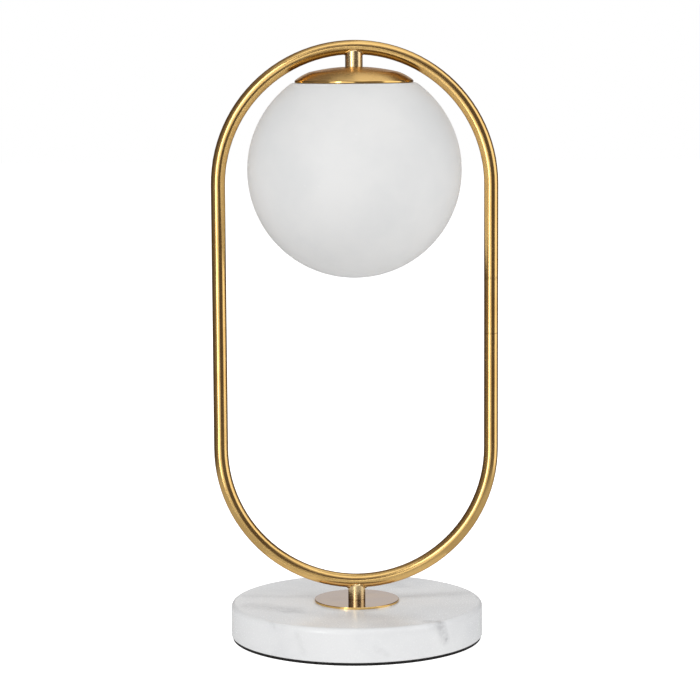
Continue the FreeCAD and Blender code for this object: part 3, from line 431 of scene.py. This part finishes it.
def domeMaterial():
    material, tree, shader = brassMaterial("spunDomeBrass", turnedCoordinates,
                                           dome["roughness"], swing=0.04, lines=7000.0,
                                           wander=9.0, depth=0.7)
    z = splitPlace(tree)[2]
    rimTop = domeLow.z + dome["rimHeight"]
    isRim = rescale(tree, z, rimTop, rimTop + dome["rimSoft"], 1.0, 0.0, smooth=True)
    rough = blendValues(tree, isRim, linkedTo(shader, "Roughness"), dome["rimRoughness"])
    feed(tree, shader.inputs["Roughness"], rough)
    colour = linkedTo(shader, "Base Color")
    dulled = blendColours(tree, dome["dullShare"], colour, dome["dull"])
    colour = blendColours(tree, isRim, dulled, colour)
    # painted shade in reflections: glossy rays see the dome in the darker colour
    _, inMetal, _ = seenRays(tree)
    feed(tree, shader.inputs["Base Color"], blendColours(tree, inMetal, colour, dome["shade"]))
    shader.inputs["Specular Tint"].default_value = dome["edge"]
    shader.inputs["Coat Weight"].default_value = dome["lacquer"]
    setTurnedGrain(tree, shader, dome["anisotropy"])
    return material


plate = {
    "top": (0.54, 0.472, 0.43, 1),     # painted reflection: the polished top takes a pinkish grey in place of the brass, standing in for what it reflects
    "edge": (0.88, 0.58, 0.21, 1),
    "tint": (0.78, 0.73, 0.70, 1),
    "patches": 0.12,
    "edgeDepth": 0.00015,              # how far the edge's colour reaches, from the top
    "topDepth": 0.00002,
    "edgeWidth": 0.00035,              # and across the top, from the rim
    "edgeSoft": 0.0001,
    "roughness": 0.05,
    "smudge": 0.05,
    "smudgeScale": 60.0,
}


def plateMaterial():
    material, tree, shader = newMaterial("polishedPlate")
    brush = useGroup(tree, brushedLines, Vector=turnedCoordinates(tree), Lines=5000.0,
                     Wander=40.0, Depth=0.12)
    smudges = useGroup(tree, handling, Vector=objectPlace(tree), Scale=plate["smudgeScale"])
    x, y, z = splitPlace(tree)
    # painted reflection: the top inside the rim takes the greyer colour, standing in for what
    # the mirror-bright top reflects; the turned edge keeps the brass colour
    onTop = rescale(tree, z, plateHigh.z - plate["edgeDepth"],
                    plateHigh.z - plate["topDepth"], 0.0, 1.0)
    topRadius = plateRadius - plate["edgeWidth"]
    inside = rescale(tree, reachOf(tree, x, y), topRadius, topRadius + plate["edgeSoft"],
                     1.0, 0.0)
    patch = rescale(tree, brush.outputs["Patches"], *patchSpan, 0.0, plate["patches"])
    top = blendColours(tree, patch, plate["top"], plate["edge"])
    colour = blendColours(tree, calc(tree, "MULTIPLY", onTop, inside), plate["edge"], top)
    rough = rescale(tree, smudges.outputs["Marks"], 0.0, 1.0, plate["roughness"],
                    plate["roughness"] + plate["smudge"])
    setSurface(tree, shader, colour, rough, brush.outputs["Normal"], metallic=1.0)
    shader.inputs["Specular Tint"].default_value = plate["tint"]
    return material


dress(tubeMaterial(), "frame_tube")
dress(stemMaterial(), "lower_stem", "upper_stem")
dress(domeMaterial(), "canopy_dome")
dress(plateMaterial(), "base_plate")
print("brass dressed")


stone = {
    "ground": (0.845, 0.85, 0.855, 1),
    "cloud": (0.72, 0.73, 0.745, 1),
    "vein": (0.40, 0.40, 0.41, 1),
    "warm": (0.60, 0.53, 0.42, 1),
    "roughness": (0.20, 0.29),
    "specular": 0.45,
    "bump": 0.05,
    # scales of the noises; a bend is the scale of a slow push and its reach in metres
    "cloudScale": 13.0,
    "cloudBend": (9.0, 0.05),
    "veinScale": 7.0,
    "veinBend": (14.0, 0.06),
    "veinedScale": 10.0,
    "crumbScale": 330.0,
    "grainScale": 900.0,
    "placedBend": (60.0, 0.013),
    # noise from and to, then amount from and to
    "clouds": (0.44, 0.70, 0.0, 0.75),
    "veined": (0.50, 0.70, 0.0, 1.0),
    "softVeins": (0.0, 0.06, 0.40, 0.0),
    "fineVeins": (0.0, 0.012, 0.16, 0.0),
    "broken": (0.32, 0.62, 0.35, 1.0),
    "mottle": (0.35, 0.65, 0.10, 0.0),
    "rust": (0.70, 0.76, 0.0, 0.16),
    # placed veins by their two ends in metres, then half width and depth of tone
    "veins": (
        ((-0.074, -0.016, 0.0255), (-0.046, -0.030, 0.0255), 0.0150, 0.46),
        ((-0.046, -0.034, 0.0255), (-0.039, -0.036, 0.0255), 0.0080, 0.38),
        ((-0.078, 0.016, 0.0255), (-0.034, 0.012, 0.0255), 0.0085, 0.24),
        ((0.036, 0.012, 0.0255), (0.078, 0.022, 0.0255), 0.0100, 0.22),
        ((-0.030, -0.044, 0.0255), (0.036, -0.054, 0.0255), 0.0160, 0.22),
        ((0.0470, -0.0675, 0.0248), (0.0582, -0.0682, 0.0228), 0.0062, 0.66),
        ((0.0572, -0.0688, 0.0230), (0.0598, -0.0666, 0.0130), 0.0062, 0.44),
        ((0.0602, -0.0662, 0.0139), (0.0603, -0.0661, 0.0136), 0.0016, 1.00),
        ((-0.0610, -0.0655, 0.0245), (-0.0530, -0.0720, 0.0195), 0.0024, 0.26),
        ((-0.0400, -0.0800, 0.0190), (-0.0370, -0.0815, 0.0070), 0.0050, 0.14),
        ((0.0140, -0.0884, 0.0120), (0.0200, -0.0872, 0.0060), 0.0045, 0.16),
        ((0.0180, 0.0850, 0.0220), (0.0330, 0.0450, 0.0255), 0.0090, 0.30),
        ((-0.0500, 0.0740, 0.0050), (-0.0420, 0.0790, 0.0200), 0.0050, 0.26),
    ),
}


def makeVeinGroup():
    # how near a place lies to a line between two ends: 1 on it, 0 beyond its half width
    group, into, out = newGroup("stoneVein", [
        ("Place", "NodeSocketVector", None), ("Start", "NodeSocketVector", None),
        ("End", "NodeSocketVector", None), ("Half Width", "NodeSocketFloat", 0.002)], [
        ("Mask", "NodeSocketFloat")])
    start = into.outputs["Start"]
    way = calcVector(group, "SUBTRACT", into.outputs["End"], start)
    offset = calcVector(group, "SUBTRACT", into.outputs["Place"], start)
    share = calc(group, "DIVIDE", calcVector(group, "DOT_PRODUCT", offset, way, output="Value"),
                 calcVector(group, "DOT_PRODUCT", way, way, output="Value"))
    share = rescale(group, share, 0.0, 1.0, 0.0, 1.0)
    along = put(group, "VectorMath", {"operation": "SCALE"}, Vector=way, Scale=share)
    apart = calcVector(group, "SUBTRACT", offset, along.outputs[0])
    apart = calcVector(group, "LENGTH", apart, output="Value")
    mask = rescale(group, calc(group, "DIVIDE", apart, into.outputs["Half Width"]),
                   0.0, 1.0, 1.0, 0.0, smooth=True)
    group.links.new(mask, out.inputs["Mask"])
    return group


def marbleMaterial():
    material, tree, shader = newMaterial("whiteMarble")
    place = objectPlace(tree)
    veinGroup = makeVeinGroup()

    def bent(scale, amount):
        # the place pushed about by slow noise, so that lines wander
        warp = put(tree, "TexNoise", Vector=place, Scale=scale, Detail=5.0, Roughness=0.6)
        centred = calcVector(tree, "SUBTRACT", warp.outputs["Color"], (0.5, 0.5, 0.5))
        return calcVector(tree, "MULTIPLY_ADD", centred, (amount, amount, amount), place)

    slow = noiseOf(tree, bent(*stone["cloudBend"]), stone["cloudScale"], detail=5.0)
    clouds = rescale(tree, slow, *stone["clouds"], smooth=True)
    veins = noiseOf(tree, bent(*stone["veinBend"]), stone["veinScale"], detail=6.0)
    ridge = calc(tree, "ABSOLUTE", calc(tree, "SUBTRACT", veins, 0.5))
    gate = noiseOf(tree, place, stone["veinedScale"])
    veined = rescale(tree, gate, *stone["veined"], smooth=True)
    soft = calc(tree, "MULTIPLY", rescale(tree, ridge, *stone["softVeins"], smooth=True),
                veined)
    fine = calc(tree, "MULTIPLY", rescale(tree, ridge, *stone["fineVeins"], smooth=True),
                veined)
    colour = blendColours(tree, calc(tree, "MAXIMUM", clouds, soft), stone["ground"],
                          stone["cloud"])
    colour = blendColours(tree, fine, colour, stone["vein"])
    wander = bent(*stone["placedBend"])
    crumbs = noiseOf(tree, place, stone["crumbScale"], detail=4.0, roughness=0.7)
    broken = rescale(tree, crumbs, *stone["broken"])
    for start, end, halfWidth, depth in stone["veins"]:
        vein = useGroup(tree, veinGroup, Place=wander, Start=start, End=end,
                        **{"Half Width": halfWidth})
        amount = calc(tree, "MULTIPLY", calc(tree, "MULTIPLY", vein.outputs[0], depth), broken)
        colour = blendColours(tree, amount, colour, stone["vein"])
    grain = noiseOf(tree, place, stone["grainScale"], detail=3.0, roughness=0.6)
    colour = blendColours(tree, rescale(tree, grain, *stone["mottle"]), colour, stone["cloud"])
    rust = rescale(tree, crumbs, *stone["rust"], smooth=True)
    colour = blendColours(tree, rust, colour, stone["warm"])
    rough = rescale(tree, grain, *lineSpan, *stone["roughness"])
    setSurface(tree, shader, colour, rough, bumpOf(tree, grain, stone["bump"]))
    shader.inputs["Specular IOR Level"].default_value = stone["specular"]
    return material


opal = {
    "cloudScale": 16.0,
    "clouds": (0.40, 0.68, 0.0, 1.0),  # noise from and to, then amount from and to
    "etchScale": 3200.0,
    "seedScale": 60.0,
    "seeds": (0.03, 0.06, 0.3, 0.0),
    "seed": (0.86, 0.86, 0.86, 1),     # tiny bubbles in the opal layer
    "swing": 0.05,
    "bump": 0.05,
    "specular": 0.35,
    "milkiness": 0.25,
    "depth": 0.006,                    # metres that light spreads inside
    # the pieces' own looks: body, cloud and roughness
    "globe": ((0.785, 0.785, 0.78, 1), (0.745, 0.75, 0.75, 1), 0.48),
    "bulb": ((0.84, 0.84, 0.83, 1), (0.80, 0.80, 0.78, 1), 0.32),
}


def opalMaterial(name, body, cloud, roughness):
    material, tree, shader = newMaterial(name)
    place = objectPlace(tree)
    slow = noiseOf(tree, place, opal["cloudScale"], detail=4.0, roughness=0.55)
    clouds = rescale(tree, slow, *opal["clouds"], smooth=True)
    etched = noiseOf(tree, place, opal["etchScale"])
    bubbles = put(tree, "TexVoronoi", Vector=place, Scale=opal["seedScale"])
    seeds = rescale(tree, bubbles.outputs["Distance"], *opal["seeds"], smooth=True)
    colour = blendColours(tree, clouds, body, cloud)
    colour = blendColours(tree, seeds, colour, opal["seed"])
    rough = rescale(tree, etched, *lineSpan, roughness - opal["swing"],
                    roughness + opal["swing"])
    setSurface(tree, shader, colour, rough, bumpOf(tree, etched, opal["bump"]))
    shader.inputs["Specular IOR Level"].default_value = opal["specular"]
    shader.inputs["Subsurface Weight"].default_value = opal["milkiness"]
    shader.inputs["Subsurface Radius"].default_value = (1.0, 1.0, 1.0)
    shader.inputs["Subsurface Scale"].default_value = opal["depth"]
    return material


foam = {
    "wall": (0.026, 0.024, 0.022, 1),
    "cell": (0.009, 0.008, 0.008, 1),
    "cellScale": 2400.0,
    "cellSpan": (0.0, 0.6),
    "roughness": (0.82, 0.95),
    "bump": 0.5,
    "bumpDistance": 0.0002,
}


def foamMaterial():
    material, tree, shader = newMaterial("blackFoam")
    cells = put(tree, "TexVoronoi", Vector=objectPlace(tree), Scale=foam["cellScale"])
    distance = cells.outputs["Distance"]
    share = rescale(tree, distance, *foam["cellSpan"], 0.0, 1.0)
    rough = rescale(tree, distance, *foam["cellSpan"], *foam["roughness"])
    setSurface(tree, shader, blendColours(tree, share, foam["wall"], foam["cell"]), rough,
               bumpOf(tree, distance, foam["bump"], foam["bumpDistance"]))
    return material


dress(marbleMaterial(), "marble_base")
dress(foamMaterial(), "base_pad")
dress(opalMaterial("etchedOpalGlass", *opal["globe"]), "glass_globe")
dress(opalMaterial("bulbOpal", *opal["bulb"]), "bulb_envelope")
print("stone and glass dressed")


moulded = {
    "smudgeScale": 45.0,
    "pebbleScale": 2200.0,
    "bump": 0.12,
    "swing": (0.05, 0.06),   # how much smoother and rougher than a piece's own roughness
    "dust": 0.15,            # how much rougher a speck of dust is
    # lighter tone, deeper tone, roughness, pieces
    "looks": {
        "blackPlastic": ((0.022, 0.022, 0.023, 1), (0.035, 0.035, 0.036, 1), 0.38,
                         ("cord_gland", "lampholder_cap", "lampholder_body")),
        "whitePlastic": ((0.78, 0.78, 0.76, 1), (0.70, 0.70, 0.67, 1), 0.35,
                         ("terminal_block", "bulb_housing")),
        "glazedCeramic": ((0.74, 0.71, 0.65, 1), (0.66, 0.63, 0.57, 1), 0.18,
                          ("contact_insert",)),
        "boardMask": ((0.80, 0.80, 0.79, 1), (0.72, 0.72, 0.71, 1), 0.40, ("led_board",)),
        "chipPhosphor": ((0.86, 0.72, 0.20, 1), (0.80, 0.63, 0.14, 1), 0.45, ("led_chips",)),
        "brownLead": ((0.16, 0.065, 0.028, 1), (0.12, 0.045, 0.02, 1), 0.42, ("live_lead",)),
        "blueLead": ((0.025, 0.09, 0.30, 1), (0.02, 0.07, 0.24, 1), 0.42, ("neutral_lead",)),
        "blackGlass": ((0.012, 0.012, 0.014, 1), (0.02, 0.02, 0.022, 1), 0.10,
                       ("bulb_insulator",)),
    },
}


def mouldedMaterial(name, light, deep, roughness):
    material, tree, shader = newMaterial(name)
    place = objectPlace(tree)
    smudges = useGroup(tree, handling, Vector=place, Scale=moulded["smudgeScale"])
    pebble = noiseOf(tree, place, moulded["pebbleScale"])
    smoother, rougher = moulded["swing"]
    rough = rescale(tree, pebble, *lineSpan, roughness - smoother, roughness + rougher)
    dust = calc(tree, "MULTIPLY", smudges.outputs["Dust"], moulded["dust"])
    setSurface(tree, shader, blendColours(tree, smudges.outputs["Marks"], light, deep),
               calc(tree, "ADD", rough, dust), bumpOf(tree, pebble, moulded["bump"]))
    return material


metal = {
    "swing": 0.06,
    "wander": 50.0,
    "depth": 0.8,
    # lighter tone, deeper tone, roughness
    "steel": ((0.62, 0.62, 0.64, 1), (0.50, 0.51, 0.54, 1), 0.30),
    "spring": ((0.55, 0.56, 0.58, 1), (0.44, 0.45, 0.48, 1), 0.22),
    "nickel": ((0.70, 0.68, 0.64, 1), (0.58, 0.56, 0.52, 1), 0.22),
}


def metalMaterial(name, light, deep, roughness, coordinates, lines=6000.0):
    material, tree, shader = newMaterial(name)
    brush = useGroup(tree, brushedLines, Vector=coordinates(tree), Lines=lines,
                     Wander=metal["wander"], Depth=metal["depth"])
    tone = rescale(tree, brush.outputs["Patches"], *patchSpan, 0.0, 1.0)
    rough = rescale(tree, brush.outputs["Lines"], *lineSpan, roughness - metal["swing"],
                    roughness + metal["swing"])
    setSurface(tree, shader, blendColours(tree, tone, deep, light), rough,
               brush.outputs["Normal"], metallic=1.0)
    return material


dress(metalMaterial("zincSteel", *metal["steel"], turnedCoordinates), "base_washer",
      "spring_washer", "base_nut", "base_nipple", "upper_nipple", "canopy_nut", "clip_nut",
      "clip_plate", "clip_rivets", "terminal_screws", "holder_screws")
dress(metalMaterial("springSteel", *metal["spring"], objectPlace, lines=4000.0),
      "globe_clip_1", "globe_clip_2", "globe_clip_3")
dress(metalMaterial("nickelCap", *metal["nickel"], turnedCoordinates), "bulb_contact",
      "bulb_cap")
dress(brassMaterial("contactBrass", turnedCoordinates, 0.25, lines=6000.0)[0],
      "screw_shell", "centre_contact")
for name, (light, deep, roughness, pieces) in moulded["looks"].items():
    dress(mouldedMaterial(name, light, deep, roughness), *pieces)
print("inner pieces dressed")


braze = {
    "light": (0.98, 0.78, 0.42, 1),
    "deep": (0.66, 0.39, 0.12, 1),
    "poolScale": 700.0,
    "burnt": (0.42, 0.64, 1.0, 0.0),     # noise from and to, then share from and to
    "rippleScale": 2600.0,
    "bump": 0.35,
    "roughness": (0.22, 0.08),           # where it is burnt, and where it ran clean
    "archRise": 0.0030,                  # the stem's lip, as the solid has it
    "archSpread": 0.0006,
    "steps": 9,                          # points for a quarter of the lip
    "sideSteps": 3,                      # and for the short way across its side
    "seat": 0.00005,                     # the least that the lip stands off the tube
    "standOff": 0.35,                    # of the bead's size, outwards
    "lumpScale": 900,
    "lumpGain": 2,
    "pitShare": 0.35,
    "rounding": 4,
    "upper": {"size": 0.00050, "lumps": 0.22, "seed": 3.1, "pit": None},
    "lower": {"size": 0.00072, "lumps": 0.50, "seed": 8.4, "pit": (0.0009, 0.0016)},
}


def brazeMaterial():
    material, tree, shader = newMaterial("brazedBrass")
    place = objectPlace(tree)
    pool = noiseOf(tree, place, braze["poolScale"], detail=3.0)
    ripple = noiseOf(tree, place, braze["rippleScale"])
    burnt = rescale(tree, pool, *braze["burnt"], smooth=True)
    rough = rescale(tree, pool, *patchSpan, *braze["roughness"])
    setSurface(tree, shader, blendColours(tree, burnt, braze["light"], braze["deep"]), rough,
               bumpOf(tree, ripple, braze["bump"]), metallic=1.0)
    return material


def lipPath(underside, bendsUp):
    # the corner between a stem's arched lip and the tube, once round, in metres
    foot, rise = stemRadius + braze["archSpread"], braze["archRise"]
    archRadius = (foot * foot + rise * rise) / (2 * rise)
    steps, sideSteps = braze["steps"], braze["sideSteps"]

    def driftAt(x):
        # how far the bent tube has left its level at the stem's axis
        return x * x / (2 * loopRadius) * (1 if bendsUp else -1)

    quarter = []
    for step in range(steps + 1):
        x = stemRadius * math.sin(step / steps * math.pi / 2)
        height = rise - archRadius + math.sqrt(archRadius * archRadius - x * x)
        depth = tubeRadius - max(height - driftAt(x), braze["seat"])
        quarter.append((x, -math.sqrt(tubeRadius * tubeRadius - depth * depth), height))
    x, near, height = quarter[-1]
    for step in range(1, sideSteps + 1):
        y = near * (1 - step / sideSteps)
        sag = tubeRadius - math.sqrt(tubeRadius * tubeRadius - y * y)
        quarter.append((x, y, driftAt(x) + sag))
    path = quarter[:-1]
    path += [(x, -y, height) for x, y, height in reversed(quarter)]
    path += [(-x, -y, height) for x, y, height in quarter[1:-1]]
    path += [(-x, y, height) for x, y, height in reversed(quarter[1:])]
    return [Vector((x, y, underside + height)) for x, y, height in path]


def makeBead(name, setup, underside, bendsUp, material):
    # filler metal run round the lip: a ring with a thickness of its own at each point
    bpy.ops.object.select_all(action="DESELECT")
    bpy.ops.curve.primitive_nurbs_circle_add(radius=stemRadius, location=(0, 0, 0))
    ring = bpy.context.object
    ring.name = name
    spline = ring.data.splines[0]
    path = lipPath(underside, bendsUp)
    spline.points.add(len(path) - len(spline.points))
    away = Vector((setup["seed"], 0, 0))
    pit = setup["pit"]
    for point, place in zip(spline.points, path):
        outward = Vector((place.x, place.y, 0)).normalized() * setup["size"] * braze["standOff"]
        lump = noise.noise(place * braze["lumpScale"] + away) * braze["lumpGain"]
        point.co = (*(place + outward), 1)
        point.radius = 1 + setup["lumps"] * lump
        if pit and place.y < 0 and pit[0] < place.x < pit[1]:
            point.radius *= braze["pitShare"]
    ring.data.bevel_depth = setup["size"]
    ring.data.bevel_resolution = braze["rounding"]
    ring.data.resolution_u = braze["rounding"]
    bpy.ops.object.convert(target="MESH")
    bpy.ops.object.shade_smooth()
    ring.data.materials.append(material)
    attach(ring, "stand")


brazed = brazeMaterial()
makeBead("lowerBraze", braze["lower"], tubeLow.z, True, brazed)
makeBead("upperBraze", braze["upper"], tubeHigh.z - 2 * tubeRadius, False, brazed)
print("braze beads made")


studio = {
    "floorSize": 14.0,
    "floorTone": (0.76, 0.76, 0.76, 1),
    "floorGlow": 0.62,             # lifts the table to white for the camera
    "floorInMetal": 0.52,          # the table's brightness as metal sees it
    "floorBounce": 0.16,           # what the bright table throws up from below
    "nearFloor": (0.34, 0.62),     # metres: further out, metal sees the studio instead
    "air": 0.55,                   # light from all round on what isn't metal
    "dark": 0.105,                 # the studio between the softboxes, as metal sees it
    "dimBelow": 0.5,
    "warm": (1.0, 0.86, 0.88, 1),  # the tint of the dim parts
    # softboxes and flags as metal sees them: from and to by the angle round from the front,
    # right being positive, from and to by the angle up, and soft edge, all in degrees; then
    # strength
    "boxes": (
        (-48, -15, -38, 38, 5, 1.15),
        (-36, -26, -38, 38, 4, 5.4),
        (-18, 1, -34, -6, 4, 1.0),
        (-24, 1, -8, 11, 4, 1.1),
        (-24, 9, 9, 17, 4, 0.8),
        (-14, 3, 8, 15, 4, 1.7),
        (60, 104, -30, 64, 6, 1.3),
        (-86, -50, -30, 48, 8, 0.22),
        (104, 150, -30, 36, 10, 0.16),
        (-60, 60, 34, 48, 6, 0.36),
        (-60, 100, 50, 88, 7, 1.22),
        (-100, -60, 50, 88, 9, 0.55),
        (-200, -100, 62, 95, 8, 0.56),
        (100, 200, 46, 95, 8, 0.90),
        (-200, -100, 34, 62, 8, 0.24),
        (-200, -167, 8.5, 17, 3, 0.93),
        (167, 200, 8.5, 17, 3, 0.93),
        (-200, -167, -95, 9, 4, 0.30),
        (167, 200, -95, 9, 4, 0.30),
        (-180, 180, -95, -30, 8, 0.38),
    ),
}


def mixShaders(tree, factor, first, second):
    node = put(tree, "MixShader")
    feed(tree, node.inputs[0], factor)
    tree.links.new(first.outputs[0], node.inputs[1])
    tree.links.new(second.outputs[0], node.inputs[2])
    return node


def makeFloor():
    bpy.ops.object.select_all(action="DESELECT")
    bpy.ops.mesh.primitive_plane_add(size=studio["floorSize"], location=(0, 0, 0))
    floor = bpy.context.object
    floor.name = "floor"
    material = bpy.data.materials.new("paleFloor")
    material.use_nodes = True
    tree = material.node_tree
    tree.nodes.clear()
    output = put(tree, "OutputMaterial")
    camera, glossy, through = seenRays(tree)
    plain = calc(tree, "MULTIPLY", calc(tree, "MAXIMUM", camera, through), studio["floorGlow"])
    glow = put(tree, "Emission", Color=white,
               Strength=calc(tree, "ADD", plain, studio["floorBounce"]))
    diffuse = put(tree, "BsdfDiffuse", Color=studio["floorTone"])
    asSeen = put(tree, "AddShader")
    tree.links.new(diffuse.outputs[0], asSeen.inputs[0])
    tree.links.new(glow.outputs[0], asSeen.inputs[1])
    near = put(tree, "Emission", Color=white, Strength=studio["floorInMetal"])
    beyond = put(tree, "BsdfTransparent")
    x, y, _ = splitPlace(tree)
    far = rescale(tree, reachOf(tree, x, y), *studio["nearFloor"], 0.0, 1.0, smooth=True)
    inMetal = mixShaders(tree, far, near, beyond)
    floorLook = mixShaders(tree, glossy, asSeen, inMetal)
    tree.links.new(floorLook.outputs[0], output.inputs["Surface"])
    floor.data.materials.append(material)


def makeWorld():
    # white to the camera, even light on dull surfaces, softboxes and flags in metal
    world = bpy.data.worlds.new("studioAir")
    bpy.context.scene.world = world
    world.use_nodes = True
    world.cycles.sampling_method = "NONE"
    tree = world.node_tree
    tree.nodes.clear()
    output = put(tree, "OutputWorld")
    camera, glossy, through = seenRays(tree)
    way = put(tree, "TexCoord").outputs["Generated"]
    x, y, z = put(tree, "SeparateXYZ", Vector=way).outputs
    degrees = 180 / math.pi
    front = calc(tree, "MULTIPLY", y, -1.0)
    around = calc(tree, "MULTIPLY", calc(tree, "ARCTAN2", x, front), degrees)
    up = calc(tree, "MULTIPLY", calc(tree, "ARCSINE", z), degrees)
    level = studio["dark"]
    for left, right, low, high, soft, strength in studio["boxes"]:
        inside = calc(tree, "MULTIPLY", window(tree, around, left, right, soft),
                      window(tree, up, low, high, soft))
        level = calc(tree, "MAXIMUM", level, calc(tree, "MULTIPLY", inside, strength))
    plain = calc(tree, "MULTIPLY", calc(tree, "MAXIMUM", camera, through), 1 - studio["air"])
    strength = blendValues(tree, glossy, calc(tree, "ADD", plain, studio["air"]), level)
    dim = rescale(tree, level, studio["dark"], studio["dimBelow"], 1.0, 0.0)
    colour = blendColours(tree, calc(tree, "MULTIPLY", dim, glossy), white, studio["warm"])
    back = put(tree, "Background", Color=colour, Strength=strength)
    tree.links.new(back.outputs[0], output.inputs["Surface"])


# area lamps: place and the point aimed at in metres, size in metres, power in watts
lamps = {
    "keyLamp": ((-1.7, -1.5, 1.9), (0, 0, 0.25), (1.4, 1.4), 24.5),
    "fillLamp": ((2.1, -1.3, 1.2), (0, 0, 0.2), (1.2, 1.6), 15),
    "lowLamp": ((0.4, -2.2, 0.25), (0, 0, 0.2), (1.8, 0.5), 5.5),
    "backLamp": ((0.9, 2.2, 1.1), (0, 0, 0.2), (1.4, 1.4), 15),
}


def addLamp(name, place, aim, size, power):
    data = bpy.data.lights.new(name, "AREA")
    data.shape = "RECTANGLE"
    data.size, data.size_y = size
    data.energy = power
    lamp = bpy.data.objects.new(name, data)
    bpy.context.scene.collection.objects.link(lamp)
    lamp.location = place
    way = Vector(aim) - Vector(place)
    lamp.rotation_euler = way.to_track_quat("-Z", "Y").to_euler()
    lamp.visible_camera = False
    lamp.visible_glossy = False


makeFloor()
makeWorld()
for name, setup in lamps.items():
    addLamp(name, *setup)
bpy.context.scene.view_settings.view_transform = "Standard"
print("studio built")
